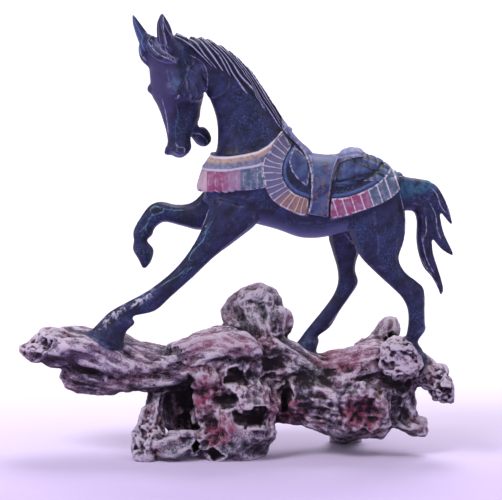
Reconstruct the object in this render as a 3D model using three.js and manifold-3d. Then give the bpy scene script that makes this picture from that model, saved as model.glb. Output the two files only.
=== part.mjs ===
// A painted wooden horse carved in one with the gnarled root that it steps on.
// Millimetres, +Z up. The horse looks along -X, its near (left) side faces -Y,
// and the origin is on the ground under the middle of the carving.
import * as THREE from "three";
import { mergeVertices } from "three/addons/utils/BufferGeometryUtils.js";
import Module from "manifold-3d";

const wasm = await Module();
wasm.setup();

// Driving sizes. The stations further down are the carver's drawing of a figure
// DRAWN_HEIGHT tall, and every one of them scales with FIGURE_HEIGHT.
const FIGURE_HEIGHT = 450; // ground to the tip of the near ear
const DRAWN_HEIGHT = 450;
const BORDER_RISE = 3; // how far the tiled border of the saddle cloth stands off the coat
const BAND_RISE = 3.5; // the breast band
const FLAP_RISE = 5; // the seat and its side flaps, over the border
const CANTLE_HALF = 10; // half of the cantle's length along the back
const CANTLE_RISE = 6.5; // half of its height
const MANE_LOCKS = 8; // on each side of the crest
const LOCK_LENGTH = 50; // along the crest
const LOCK_THICKNESS = 5;
const HEAD_TURN = 45; // degrees that the head looks round towards the near side
const HEAD_TILT = 6; // degrees that the head leans over towards the far side
const ROOT_GNARL = 0.1; // share of a root's radius that its lumps rise and fall by

const unit = FIGURE_HEIGHT / DRAWN_HEIGHT;
const MIDDLE = [-16, 0.5]; // the middle of the drawing's footprint

// A closed mesh as a solid that can be joined and cut.
function solidOf(geometry) {
  const bare = new THREE.BufferGeometry();
  bare.setAttribute("position", geometry.getAttribute("position"));
  if (geometry.index) bare.setIndex(geometry.index);
  const merged = mergeVertices(bare, 1e-4);
  return new wasm.Manifold(
    new wasm.Mesh({
      numProp: 3,
      vertProperties: merged.attributes.position.array,
      triVerts: new Uint32Array(merged.index.array),
    }),
  );
}

const join = (solids) => solids.reduce((all, solid) => all.add(solid));

// Skins a row of rings, each an equal number of points, and closes both ends.
function skin(rings) {
  const sides = rings[0].length;
  const points = rings.flat();
  const faces = [];
  for (let r = 0; r + 1 < rings.length; r++) {
    for (let s = 0; s < sides; s++) {
      const a = r * sides + s;
      const b = r * sides + ((s + 1) % sides);
      faces.push([a, b, b + sides], [a, b + sides, a + sides]);
    }
  }
  for (const end of [0, rings.length - 1]) {
    const middle = new THREE.Vector3();
    rings[end].forEach((p) => middle.addScaledVector(p, 1 / sides));
    points.push(middle);
    for (let s = 0; s < sides; s++) {
      const a = end * sides + s;
      const b = end * sides + ((s + 1) % sides);
      faces.push(end ? [a, b, points.length - 1] : [b, a, points.length - 1]);
    }
  }
  const volume = faces.reduce((sum, [a, b, c]) => {
    const across = points[b].clone().cross(points[c]);
    return sum + points[a].dot(across);
  }, 0);
  const outward = volume > 0 ? faces : faces.map(([a, b, c]) => [c, b, a]);
  const geometry = new THREE.BufferGeometry().setFromPoints(points);
  geometry.setIndex(outward.flat());
  return geometry;
}

// One ring of a limb: a rounded section round middle, with half-sizes deep and wide.
// squareness 2 is an ellipse, and more is boxier.
function section(middle, deep, wide, sides, squareness = 2, shape = () => 1) {
  const power = (v) => Math.sign(v) * Math.abs(v) ** (2 / squareness);
  return Array.from({ length: sides }, (_, s) => {
    const turn = (2 * Math.PI * s) / sides;
    const c = power(Math.cos(turn));
    const grow = shape(turn);
    return middle
      .clone()
      .addScaledVector(deep, c * grow)
      .addScaledVector(wide, power(Math.sin(turn)) * grow);
  });
}

// Smooth values through the stations' own, one set for each ring.
function through(rows, rings) {
  const curve = (pick) =>
    new THREE.CatmullRomCurve3(rows.map(pick), false, "centripetal");
  const first = curve((row) => new THREE.Vector3(row[0], row[1], row[2]));
  const second = curve((row) => new THREE.Vector3(row[3], row[4], row[5]));
  return Array.from({ length: rings }, (_, r) => {
    const t = r / (rings - 1);
    return [first.getPoint(t), second.getPoint(t)];
  });
}

// A part of the horse, drawn in side view. A station holds the outline's front point
// [x, z], its back point [x, z], the half-width across and the stand-off in Y.
function flesh(stations, options = {}) {
  const { rings = stations.length * 2, sides = 12, squareness = 2.3, swell = 0 } = options;
  const rows = stations.map(([front, back, half, off = 0]) => [
    front[0], off, front[1], back[0], half, back[1],
  ]);
  const made = through(rows, rings).map(([front, back]) => {
    const rear = new THREE.Vector3(back.x, front.y, back.z);
    const deep = front.clone().sub(rear).multiplyScalar(0.5);
    deep.setLength(deep.length() + swell);
    const wide = new THREE.Vector3(0, back.y + swell, 0);
    const middle = front.clone().add(rear).multiplyScalar(0.5);
    return section(middle, deep, wide, sides, squareness);
  });
  return solidOf(skin(made));
}

// A root, or any other limb that wanders in space. A station is [x, y, z, wide, deep],
// where wide lies along the across axis, and deep square to it and to the limb.
function root(stations, options = {}) {
  const { rings = stations.length + 1, sides = 7, across = "y" } = options;
  const { lumps = ROOT_GNARL, seed = 1, squareness = 2 } = options;
  const side = across === "y" ? new THREE.Vector3(0, 1, 0) : new THREE.Vector3(1, 0, 0);
  const rows = stations.map(([x, y, z, wide, deep]) => [x, y, z, wide, deep, 0]);
  const path = through(rows, rings);
  const made = path.map(([middle, size], r) => {
    const before = path[Math.max(0, r - 1)][0];
    const after = path[Math.min(path.length - 1, r + 1)][0];
    const along = after.clone().sub(before).normalize();
    const wide = side.clone().addScaledVector(along, -side.dot(along)).normalize();
    const deep = new THREE.Vector3().crossVectors(along, wide).normalize();
    const lump = (turn) =>
      1 +
      lumps * Math.sin(2 * turn + seed + r * 0.9) +
      lumps * 0.7 * Math.sin(5 * turn + 2.3 * seed - r * 1.3);
    return section(
      middle,
      deep.multiplyScalar(size.y),
      wide.multiplyScalar(size.x),
      sides,
      squareness,
      lump,
    );
  });
  return solidOf(skin(made));
}

// A rounded lump or, taken away, a rounded hollow.
function lump([x, y, z], [rx, ry, rz], detail = 7) {
  const ball = new THREE.SphereGeometry(1, detail, Math.round(detail * 0.7));
  ball.scale(rx, ry, rz).translate(x, y, z);
  return solidOf(ball);
}

// The outline of a cloth or strap, drawn in side view as [x, z] points and run right
// through the horse from side to side.
function sheetOf(outline, halfDepth = 60) {
  const shape = new THREE.Shape(outline.map(([x, z]) => new THREE.Vector2(x, z)));
  const sheet = new THREE.ExtrudeGeometry(shape, { depth: 2 * halfDepth, bevelEnabled: false });
  sheet.rotateX(Math.PI / 2).translate(0, halfDepth, 0);
  return solidOf(sheet);
}

// The coat. Body, neck and legs are drawn as front and back outlines.
const TRUNK = [
  [[-37, 292], [-48, 256], 17],
  [[-11, 307], [-29, 241], 25],
  [[17, 316], [-1, 234], 29],
  [[39, 312], [26, 227], 31],
  [[54, 302], [49, 219], 32],
  [[74, 297], [71, 219], 32],
  [[94, 299], [94, 225], 31],
  [[112, 300], [116, 230], 31],
  [[130, 293], [134, 232], 29],
  [[144, 279], [147, 236], 22],
  [[151, 264], [153, 246], 10],
];
const NECK = [
  [[-58, 392], [-72, 414], 8],
  [[-50, 376], [-52, 417], 13],
  [[-41, 358], [-27, 406], 14.5],
  [[-35, 341], [-7, 389], 16],
  [[-33, 323], [10, 367], 18],
  [[-35, 305], [24, 344], 21.5],
  [[-45, 289], [37, 323], 25],
  [[-52, 268], [49, 297], 27],
];
const NEAR_FORE = [
  [[-39, 262], [14, 250], 14, -15],
  [[-46, 241], [7, 236], 13.5, -18],
  [[-52, 225], [-15, 218], 11, -20],
  [[-63, 206], [-35, 203], 9.5, -20],
  [[-79, 187], [-57, 182], 8.5, -20],
  [[-103, 168], [-79, 162], 8, -20],
  [[-123, 157], [-96, 147], 8, -20],
  [[-134, 151], [-118, 141], 7, -20],
  [[-142, 146], [-115.5, 135], 9, -20],
  [[-151, 137], [-124, 126], 11, -20],
  [[-163, 124], [-128, 110], 14, -20],
];
const FAR_FORE = [
  [[-46, 265], [-26, 230], 12, 13],
  [[-60, 251], [-50, 222.5], 11, 17],
  [[-76, 249], [-69, 226.5], 9.5, 18],
  [[-91, 252], [-87, 230.5], 8.5, 18],
  [[-101, 248.5], [-94, 226.5], 8, 18],
  [[-110, 237.5], [-97, 223], 7.2, 18],
  [[-118.5, 221.5], [-99, 217], 7, 18],
  [[-118, 212], [-104, 212], 6.2, 18],
  [[-119, 203], [-97.5, 203], 8.5, 18],
  [[-113.5, 193], [-100, 191], 8, 18],
  [[-109.5, 184.5], [-105.5, 184], 4, 18],
];
const NEAR_HIND = [
  [[94, 275], [147, 280], 15, -12],
  [[92, 241], [154, 244], 16, -15],
  [[99, 222], [153, 220], 14.5, -18],
  [[108, 203], [147.5, 201], 12, -20],
  [[124, 186], [153, 187.5], 10.5, -20],
  [[139, 172], [164, 178], 9, -20],
  [[150, 161], [172, 170], 8.5, -20],
  [[156, 148], [173.5, 150], 7.5, -20],
  [[156.5, 134], [174, 136], 7.2, -20],
  [[155, 124.5], [174.5, 128], 7.5, -20],
  [[152.5, 116], [167, 116], 7, -20],
  [[148, 106], [172, 107], 10, -20],
  [[144, 97], [174, 95], 12, -20],
];
const FAR_HIND = [
  [[79, 262], [134, 262], 13, 11],
  [[77, 218], [118, 214], 13, 15],
  [[82, 199], [108, 197], 11, 17],
  [[86.5, 183], [105, 182], 9, 18],
  [[87, 169], [108, 169], 8, 18],
  [[82, 155.5], [100, 155], 7.2, 18],
  [[71, 140], [90, 140.5], 7, 18],
  [[60, 126.5], [79.5, 123], 7.2, 18],
  [[53.5, 118], [67.5, 113.5], 6.6, 18],
  [[49, 111.5], [69, 110], 9, 18],
  [[42, 103], [66.5, 100.5], 11, 18],
  [[36, 94], [65, 91], 12, 18],
];
const DOCK = [
  [[138, 284], [142, 246], 9],
  [[154, 279.5], [154, 245.5], 10],
  [[168, 277.5], [164, 244], 9.5],
  [[178, 276], [167, 236], 8],
];
const TAIL_LOCKS = [
  [
    [[172, 277], [166, 256], 6, -3],
    [[184, 272], [176, 254], 6, -3],
    [[191, 262], [183, 251], 5, -3],
    [[196.5, 250], [190, 243.5], 4, -3],
    [[201.5, 232], [200, 231], 1.2, -3],
  ],
  [
    [[180, 270], [168, 252], 7, 2],
    [[187.5, 250], [173, 240], 7, 2],
    [[189.5, 236], [176.5, 230], 6, 2],
    [[193, 222], [181.5, 218], 5, 2],
    [[199.5, 208], [191, 206], 3.6, 2],
    [[203, 200], [202, 199], 1.2, 2],
  ],
  [
    [[176, 262], [162, 247], 8, 0],
    [[178, 240], [165.5, 236], 8, 0],
    [[180.5, 217], [165.5, 215], 7.5, 0],
    [[182, 203], [168, 201], 6.5, 0],
    [[186, 190], [173, 188], 5.5, 0],
    [[190, 177], [181, 178.5], 4, 0],
    [[192.5, 165.5], [187.5, 166.5], 3, 0],
    [[191.5, 160], [189.5, 160.5], 1.4, 0],
  ],
];

// The trunk and the neck, or the same swollen by the thickness of a cloth on them.
function coat(swell) {
  return join([
    flesh(TRUNK, { rings: 14, sides: 16, swell }),
    flesh(NECK, { rings: 9, sides: 12, swell }),
  ]);
}

// The head, on its own axes: forward u, near side w and height z. A slice holds the
// height, the face's front, the throat side's back and the half-width.
const HEAD_AXIS = [-66, 0]; // where the head's upright axis stands
const HEAD_SLICES = [
  [422, 32, 6, 8],
  [414, 37, -6, 14],
  [402, 37.5, -12, 17],
  [391, 38, -15, 19],
  [379, 37, -16, 20.5],
  [371, 36.5, -18, 20.5],
  [363, 36, -19, 20],
  [356, 33.4, -20.5, 16],
  [347, 30.1, -17.4, 13.5],
  [337, 27.3, -15, 12],
  [328, 24.6, -6, 11],
  [318, 23.2, 0, 10.5],
  [310, 24.6, 0, 11.5],
  [304, 20, 5, 8.5],
  [300.5, 15, 10, 3],
];
const LOWER_JAW = [
  [[8, 344], [-12, 338], 8],
  [[2, 331], [-13, 328], 8],
  [[-3, 324], [-21, 328], 7.5],
  [[-9, 317.5], [-28, 321], 7.5],
  [[-14, 311.5], [-29.5, 313.5], 6.5],
  [[-19, 308], [-25, 308.5], 3],
];

function headShape() {
  const sides = 12;
  const slices = HEAD_SLICES.map(([z, front, back, half]) => [z, front, back, half, 0, 0]);
  const made = through(slices, 16).map(([a, b]) => {
    const middle = new THREE.Vector3((a.y + a.z) / 2, 0, a.x);
    const deep = new THREE.Vector3((a.y - a.z) / 2, 0, 0);
    const ring = section(middle, deep, new THREE.Vector3(0, b.x, 0), sides, 2.7);
    // The face narrows to the flat of the nose, and the jaw bars to the throat.
    ring.forEach((p) => {
      const towardsFace = (p.x - middle.x) / deep.x;
      const narrow = towardsFace > 0 ? 0.12 : 0.25;
      p.y *= 1 - narrow * towardsFace ** 2;
    });
    return ring;
  });
  return solidOf(skin(made));
}

function head() {
  const jaw = flesh(LOWER_JAW, { rings: 6, sides: 7, squareness: 2.5 });
  const mirrored = (make) => [make(1), make(-1)];
  const jowls = mirrored((s) => lump([-3, s * 9, 375], [17, 11, 19], 8));
  const temples = mirrored((s) => lump([1, s * 9, 391], [15, 11, 15], 7));
  const brows = mirrored((s) => lump([27, s * 14, 371], [9, 7, 6], 6));
  const nostrils = mirrored((s) => lump([20, s * 8, 308], [5, 4.5, 4.5], 6));
  // Ears: a leaf, wide low down and drawn to a point. The near ear is turned flat
  // to the side, and the far one shows its edge.
  const ears = [1, -1].map((s) => {
    const leaf = s > 0 ? [9.5, 7, 10, 7, 7.5, 5] : [8, 7, 7.5, 5.5, 4.5, 3.6];
    const rows = [
      [30, s * 10.5, 400, 6, 6],
      [33, s * 13, 412, leaf[0], leaf[1]],
      [36, s * 16, 423, leaf[2], leaf[3]],
      [39.5, s * 18.8, 435, leaf[4], leaf[5]],
      [42.4, s * 21, 446.5, 0.9, 0.9],
    ];
    return root(rows, { rings: 6, sides: 6, lumps: 0 });
  });
  // The forelock parts at the poll: one lock falls over the far temple, the other is
  // swept round the near ear.
  const farLock = [
    [36, -4, 423, 5, 4],
    [38, -13, 414, 5, 5],
    [37, -14, 403, 4.5, 4.5],
    [35, -11, 394, 1.5, 1.5],
  ];
  const nearLock = [
    [36, -4, 424, 4, 4],
    [40, -2, 413, 4, 4],
    [39, 8, 404, 4, 4],
    [33, 16, 400, 3.5, 3.5],
    [21, 19, 398, 1.2, 1.2],
  ];
  const forelock = [farLock, nearLock].map((lock) =>
    root(lock, { rings: 6, sides: 5, lumps: 0 }),
  );
  const bones = [...jowls, ...temples, ...brows, ...nostrils];
  const solids = [headShape(), jaw, ...bones, ...ears, ...forelock];
  // The head's axes: u to -X and w to -Y, turned round to the near side and tilted.
  const tilt = new THREE.Matrix4().makeRotationX(THREE.MathUtils.degToRad(HEAD_TILT));
  const lift = new THREE.Matrix4().makeTranslation(0, 0, -360);
  const place = new THREE.Matrix4()
    .makeTranslation(HEAD_AXIS[0], HEAD_AXIS[1], 360)
    .multiply(new THREE.Matrix4().makeRotationZ(Math.PI + THREE.MathUtils.degToRad(HEAD_TURN)))
    .multiply(tilt)
    .multiply(lift);
  return join(solids).transform(place.elements);
}

// The mane: locks that leave the crest of the neck and are combed back along its sides.
function mane() {
  const edge = (pick) =>
    new THREE.CatmullRomCurve3(NECK.slice(1).map(pick), false, "centripetal");
  const crest = edge(([, [x, z]]) => new THREE.Vector3(x, 0, z));
  const throat = edge(([[x, z], , half]) => new THREE.Vector3(x, half, z));
  const locks = [];
  for (const side of [-1, 1]) {
    for (let k = 0; k < MANE_LOCKS; k++) {
      const start = (0.72 * k) / (MANE_LOCKS - 1);
      // A point of the lock: so far along the crest, so far down the neck's side.
      const at = (ahead, down) => {
        const t = THREE.MathUtils.clamp(start + (ahead * LOCK_LENGTH) / crest.getLength(), 0, 1);
        const top = crest.getPoint(t);
        const front = throat.getPoint(t);
        const across = Math.hypot(front.x - top.x, front.z - top.z) / 2;
        const out = front.y * (1 - (1 - down / across) ** 2.3) ** (1 / 2.3);
        const inward = new THREE.Vector3(front.x - top.x, 0, front.z - top.z).normalize();
        return top.addScaledVector(inward, down).setY(side * (out + 0.5));
      };
      const rows = [
        [at(-0.06, 0.2), 2.5, 1.5],
        [at(0.2, 1.5), LOCK_THICKNESS, LOCK_THICKNESS * 0.5],
        [at(0.5, 6), LOCK_THICKNESS, LOCK_THICKNESS * 0.5],
        [at(0.8, 11), LOCK_THICKNESS * 0.7, LOCK_THICKNESS * 0.45],
        [at(1.1, 17), 0.8, 0.8],
      ].map(([p, deep, wide]) => [p.x, p.y, p.z, wide, deep]);
      locks.push(root(rows, { rings: 5, sides: 4, lumps: 0 }));
    }
  }
  return join(locks);
}

// The outlines of the cloths where they lie on the flank: the saddle cloth's tiled
// borders, the seat, its flap and the breast band.
const FRONT_BORDER = [
  [32, 327], [24, 319], [19, 310], [12.5, 301], [11, 291.8], [13, 281.8], [15, 272],
  [21, 262], [29, 255.5], [39, 250.5], [49, 246.3], [57, 246.3],
  [57, 262.4], [52, 264.4], [44, 267.4], [37, 273.4], [32, 281.8], [30.5, 291.8], [34, 303],
  [40, 312],
];
const REAR_BORDER = [
  [78, 242.3], [94, 245.4], [109, 250.4], [124, 255.8], [139, 263], [148, 270],
  [141, 292], [133, 284], [124, 277], [109, 269], [94, 264], [79, 262.9],
];
const SEAT = [
  [31, 324], [40, 313], [49, 305], [56, 298], [60, 292.6], [72, 296], [84, 297.5],
  [94, 301.5], [104, 304], [112, 305], [112, 330], [31, 345],
];
const FLAP = [
  [37, 326], [47, 317], [54, 307], [59, 296.6], [60, 287], [60, 267.4], [57, 243.5],
  [77, 241.5], [79, 267.4], [82, 290.8], [88, 299.5], [80, 312], [60, 314],
];
const BREAST_BAND = [
  [-70, 303], [-52, 303], [-35, 303], [-21, 304], [-6, 306.5], [7, 309.5], [17, 315], [24, 321],
  [26, 305], [14, 294], [13, 273.4], [0, 271], [-11, 270.5], [-24, 267.4], [-38, 267.5],
  [-48, 265.5], [-54, 268], [-70, 268],
];

// The broad lip that edges the seat at the rear, laid over the back from side to side.
function cantle() {
  const side = (s) => [
    [91, s * 22, 288, CANTLE_HALF * 0.3, CANTLE_RISE * 0.4],
    [97, s * 15, 298, CANTLE_HALF * 0.8, CANTLE_RISE * 0.8],
    [102, s * 6, 303, CANTLE_HALF, CANTLE_RISE],
  ];
  const rows = [...side(-1), ...side(1).reverse()];
  return root(rows, { rings: 9, sides: 8, lumps: 0, across: "x" });
}

// The knob at the withers, where the seat begins.
function withersKnob() {
  const rows = [[26, 0, 322, 7, 6], [31, 0, 327, 5, 4.5], [36, 0, 331, 1.6, 1.6]];
  return root(rows, { rings: 5, sides: 7, lumps: 0 });
}

function saddle() {
  const border = coat(BORDER_RISE);
  const top = flesh(TRUNK, { rings: 14, sides: 16, swell: FLAP_RISE });
  return join([
    border.intersect(join([sheetOf(FRONT_BORDER), sheetOf(REAR_BORDER)])),
    coat(BAND_RISE).intersect(sheetOf(BREAST_BAND)),
    top.intersect(join([sheetOf(SEAT), sheetOf(FLAP)])),
    cantle(),
    withersKnob(),
  ]);
}

function horse() {
  return join([
    coat(0),
    flesh(NEAR_FORE, { rings: 14, sides: 8 }),
    flesh(FAR_FORE, { rings: 14, sides: 8 }),
    flesh(NEAR_HIND, { rings: 15, sides: 8 }),
    flesh(FAR_HIND, { rings: 15, sides: 8 }),
    flesh(DOCK, { rings: 5, sides: 10 }),
    ...TAIL_LOCKS.map((lock) => flesh(lock, { rings: lock.length + 2, sides: 6 })),
    mane(),
    head(),
    saddle(),
  ]);
}

// The root: one long limb that carries the hooves, and the stumps, knobs and feet on it.
const SPINE = [
  [-234, 2, 105, 4, 3],
  [-222, 0, 104, 17, 10],
  [-204, -2, 107, 30, 17],
  [-180, -4, 107, 37, 19],
  [-150, -5, 104, 40, 20],
  [-122, -5, 93, 40, 19],
  [-85, -3, 87, 38, 19],
  [-55, 0, 95, 36, 23],
  [-20, 2, 99, 34, 25],
  [10, 4, 97, 32, 25],
  [40, 6, 86, 32, 22],
  [70, 6, 77, 32, 20],
  [100, 4, 82, 33, 21],
  [130, 4, 89, 32, 22],
  [155, 6, 86, 28, 21],
  [176, 4, 79, 16, 13],
];
const ROOT_LIMBS = [
  // The fin under the long limb.
  {
    stations: [
      [-188, -16, 88, 7, 10], [-170, -20, 82, 13, 18], [-148, -20, 80, 17, 21],
      [-128, -18, 82, 17, 19], [-92, -12, 84, 16, 17], [-66, -8, 86, 16, 15],
    ],
  },
  // The arm that the long limb ends in, in front of the stump.
  {
    stations: [
      [-84, -8, 90, 20, 14], [-60, -14, 103, 22, 20], [-36, -20, 113, 22, 18],
      [-12, -26, 114, 18, 14], [4, -30, 111, 12, 10], [11, -32, 110, 5, 5],
    ],
  },
  // The stump that stands up behind the belly.
  {
    stations: [
      [3, 14, 92, 26, 38], [4, 14, 118, 27, 36], [6, 15, 136, 26, 33], [7, 16, 150, 23, 29],
      [11, 17, 160, 18, 21], [13, 17, 166, 11, 12], [14, 17, 169, 4, 5],
    ],
  },
  // The heavy foot at the middle left, and the bulge over it.
  {
    stations: [
      [-15, -2, 92, 28, 34], [-18, -14, 70, 32, 37], [-16, -22, 50, 34, 42],
      [-13, -25, 32, 32, 43], [-18, -26, 14, 29, 35], [-22, -26, -6, 25, 28],
    ],
  },
  {
    across: "x",
    stations: [
      [-50, -10, 84, 14, 14], [-46, -28, 80, 16, 16], [-42, -40, 77, 13, 14],
      [-41, -45, 76, 7, 8],
    ],
  },
  // The flared knob at the far left, and the root that ties it to the foot.
  {
    stations: [
      [-86, -6, 76, 12, 10], [-94, -12, 60, 13, 10], [-99, -22, 44, 15, 14],
      [-103, -32, 28, 16, 16], [-106, -38, 12, 15, 15], [-106, -39, -4, 12, 12],
    ],
  },
  {
    stations: [
      [-104, -34, 18, 10, 9], [-90, -42, 16, 11, 12], [-76, -46, 16, 13, 14],
      [-60, -42, 18, 12, 12], [-40, -34, 22, 14, 14],
    ],
  },
  // The back foot.
  {
    stations: [
      [-72, 6, 82, 20, 24], [-67, 8, 52, 20, 26], [-61, 12, 22, 18, 24], [-57, 14, -6, 16, 20],
    ],
  },
  // The mass under the hind legs, and its foot.
  {
    stations: [
      [15, -2, 62, 26, 28], [45, -6, 58, 30, 28], [80, -8, 50, 34, 34], [110, -6, 48, 34, 33],
      [135, -2, 56, 28, 25], [150, 0, 62, 18, 16],
    ],
  },
  {
    stations: [
      [96, 8, 48, 26, 28], [96, 28, 26, 20, 20], [97, 42, 10, 17, 16], [97, 47, -6, 15, 14],
    ],
  },
  // The lobe with the deep socket, facing forward.
  {
    across: "x",
    stations: [
      [116, -2, 52, 30, 28], [115, -22, 51, 30, 27], [114, -36, 50, 27, 25],
      [113, -43, 49, 23, 21],
    ],
  },
  // The sawn knob in front of the near hind hoof.
  {
    across: "x",
    stations: [
      [148, 8, 94, 19, 19], [148, -18, 99, 20, 20], [148, -40, 103, 21, 21],
      [148, -50, 103, 19, 19], [148, -54, 103, 12, 12],
    ],
  },
  // The knob at the right end.
  {
    across: "x",
    stations: [
      [156, 2, 98, 14, 14], [166, -8, 93, 13, 13], [178, -20, 84, 14, 14],
      [188, -30, 74, 15, 18], [192, -36, 67, 14, 20], [193, -40, 61, 8, 11],
    ],
  },
  // The lower right lobe and the strut over it.
  {
    stations: [
      [132, -5, 46, 18, 17], [155, -12, 32, 16, 12], [170, -16, 27, 13, 10],
      [178, -18, 25, 7, 6],
    ],
  },
  {
    stations: [
      [160, -8, 78, 10, 10], [157, -12, 58, 10, 9], [155, -14, 34, 11, 11],
    ],
  },
  // The two peaks behind the near hind leg.
  {
    stations: [
      [96, 18, 90, 10, 10], [116, 20, 98, 11, 11], [130, 22, 108, 11, 12],
      [138, 24, 119, 10, 11], [144, 25, 128, 8, 7], [147, 25, 133, 3, 3],
    ],
  },
  {
    stations: [
      [108, 20, 92, 10, 11], [112, 23, 107, 5, 6], [113, 23, 113, 2, 2.5],
    ],
  },
];
const ROOT_HOLLOWS = [
  [[-27, -52, 61], [13, 20, 9]],
  [[4, -52, 44], [19, 22, 10]],
  [[-14, -38, 84], [11, 14, 10]],
  [[22, -34, 94], [18, 20, 12]],
  [[28, -14, 140], [10, 15, 17]],
  [[113, -52, 49], [17, 24, 18]],
  [[193, -47, 68], [7, 10, 8]],
  [[64, -46, 50], [16, 14, 8]],
  [[-110, -52, 30], [6, 12, 13]],
];

function rootWood() {
  const limbs = ROOT_LIMBS.map(({ stations, across }, k) =>
    root(stations, { seed: k * 1.7, across }),
  );
  const spine = root(SPINE, { rings: 22, sides: 10, seed: 4, squareness: 2.4 });
  const hollows = ROOT_HOLLOWS.map(([at, size]) => lump(at, size));
  const ground = new THREE.BoxGeometry(600, 300, 100).translate(0, 0, -50);
  return join([spine, ...limbs]).subtract(join(hollows)).subtract(solidOf(ground));
}

function meshOf(name, solid, material) {
  const { vertProperties, triVerts, numProp } = solid.getMesh();
  const positions = new Float32Array((vertProperties.length / numProp) * 3);
  for (let v = 0; v * numProp < vertProperties.length; v++) {
    positions.set(vertProperties.subarray(v * numProp, v * numProp + 3), v * 3);
  }
  const geometry = new THREE.BufferGeometry();
  geometry.setAttribute("position", new THREE.BufferAttribute(positions, 3));
  geometry.setIndex(new THREE.BufferAttribute(triVerts, 1));
  const mesh = new THREE.Mesh(geometry, material);
  mesh.name = name;
  return mesh;
}

const paintedWood = new THREE.MeshStandardMaterial({
  color: new THREE.Color(0.1, 0.11, 0.2),
  roughness: 0.6,
  metalness: 0,
});

const carving = new THREE.Group();
const drawn = join([horse(), rootWood()]);
const whole = drawn.translate([-MIDDLE[0], -MIDDLE[1], 0]).scale(unit);
carving.add(meshOf("horse_on_root", whole, paintedWood));
export default carving;
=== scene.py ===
import math

import bmesh
import bpy
import numpy as np
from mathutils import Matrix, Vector
from mathutils.bvhtree import BVHTree


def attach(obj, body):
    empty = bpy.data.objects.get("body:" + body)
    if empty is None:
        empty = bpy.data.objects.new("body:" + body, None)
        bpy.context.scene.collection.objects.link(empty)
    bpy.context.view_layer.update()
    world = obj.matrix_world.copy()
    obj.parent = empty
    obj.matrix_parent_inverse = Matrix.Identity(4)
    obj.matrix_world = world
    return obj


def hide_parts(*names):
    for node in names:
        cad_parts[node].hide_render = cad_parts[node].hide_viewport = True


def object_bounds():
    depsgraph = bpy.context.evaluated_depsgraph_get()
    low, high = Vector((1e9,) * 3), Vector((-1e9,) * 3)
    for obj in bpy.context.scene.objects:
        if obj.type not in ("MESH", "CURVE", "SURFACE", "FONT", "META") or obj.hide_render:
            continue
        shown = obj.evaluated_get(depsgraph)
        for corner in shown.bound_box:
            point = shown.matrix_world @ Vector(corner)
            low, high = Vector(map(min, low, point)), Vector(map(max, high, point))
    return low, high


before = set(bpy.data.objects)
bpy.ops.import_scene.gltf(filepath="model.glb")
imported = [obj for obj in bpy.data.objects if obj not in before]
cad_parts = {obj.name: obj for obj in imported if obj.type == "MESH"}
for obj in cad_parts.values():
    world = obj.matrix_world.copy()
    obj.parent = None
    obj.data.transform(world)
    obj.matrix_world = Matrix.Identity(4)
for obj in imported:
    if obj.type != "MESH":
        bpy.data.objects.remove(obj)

CAD_LOW, CAD_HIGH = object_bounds()

# The carver's drawing
# The horse and its root are cut from one piece of root wood, so both are drawn first as
# limbs and lumps in one side view, in millimetres, and are worked as a single block.
DRAWN_TOP = 448.4  # the highest ear tip in the drawing
DRAWN_MIDDLE = (-16.0, 0.5)  # the middle of the drawing's footprint
MM = (CAD_HIGH[2] - CAD_LOW[2]) / DRAWN_TOP
ROUGH_VOXEL = 1.5
FINE_VOXEL = 1.05

TRUNK = [  # each station: the front or upper edge, the other edge, half the width, how far over
    [(-37, 292), (-48, 256), 17], [(-11, 307), (-29, 241), 25], [(17, 316), (-1, 234), 29],
    [(39, 312), (26, 227), 31], [(54, 302), (49, 219), 32], [(74, 297), (71, 219), 32],
    [(94, 299), (94, 225), 31], [(112, 300), (116, 230), 31], [(130, 293), (134, 232), 29],
    [(144, 279), (147, 236), 22], [(151, 264), (153, 246), 10],
]
NECK = [
    [(-58, 392), (-72, 414), 8], [(-50, 376), (-52, 417), 13], [(-41, 358), (-27, 406), 14.5],
    [(-35, 341), (-7, 389), 16], [(-33, 323), (10, 367), 18], [(-35, 305), (24, 344), 21.5],
    [(-45, 289), (37, 323), 25], [(-52, 268), (49, 297), 27],
]
NEAR_FORE = [
    [(-39, 262), (14, 250), 14, -15], [(-46, 241), (7, 236), 13.5, -18],
    [(-52, 225), (-15, 218), 11, -20], [(-63, 206), (-35, 203), 9.5, -20],
    [(-79, 187), (-57, 182), 8.5, -20], [(-103, 168), (-79, 162), 8, -20],
    [(-123, 157), (-96, 147), 8, -20], [(-134, 151), (-118, 141), 7, -20],
    [(-142, 146), (-115.5, 135), 9, -20], [(-151, 137), (-124, 126), 11, -20],
    [(-163, 124), (-128, 110), 14, -20],
]
FAR_FORE = [
    [(-46, 265), (-26, 230), 12, 13], [(-60, 251), (-50, 222.5), 11, 17],
    [(-76, 249), (-69, 226.5), 9.5, 18], [(-91, 252), (-87, 230.5), 8.5, 18],
    [(-101, 248.5), (-94, 226.5), 8, 18], [(-110, 237.5), (-97, 223), 7.2, 18],
    [(-118.5, 221.5), (-99, 217), 7, 18], [(-118, 212), (-104, 212), 6.2, 18],
    [(-119, 203), (-97.5, 203), 8.5, 18], [(-113.5, 193), (-100, 191), 8, 18],
    [(-109.5, 184.5), (-105.5, 184), 4, 18],
]
NEAR_HIND = [
    [(94, 275), (147, 280), 15, -12], [(92, 241), (154, 244), 16, -15],
    [(99, 222), (153, 220), 14.5, -18], [(108, 203), (147.5, 201), 12, -20],
    [(124, 186), (153, 187.5), 10.5, -20], [(139, 172), (164, 178), 9, -20],
    [(150, 161), (172, 170), 8.5, -20], [(156, 148), (173.5, 150), 7.5, -20],
    [(156.5, 134), (174, 136), 7.2, -20], [(155, 124.5), (174.5, 128), 7.5, -20],
    [(152.5, 116), (167, 116), 7, -20], [(148, 106), (172, 107), 10, -20],
    [(144, 97), (174, 95), 12, -20],
]
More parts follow.
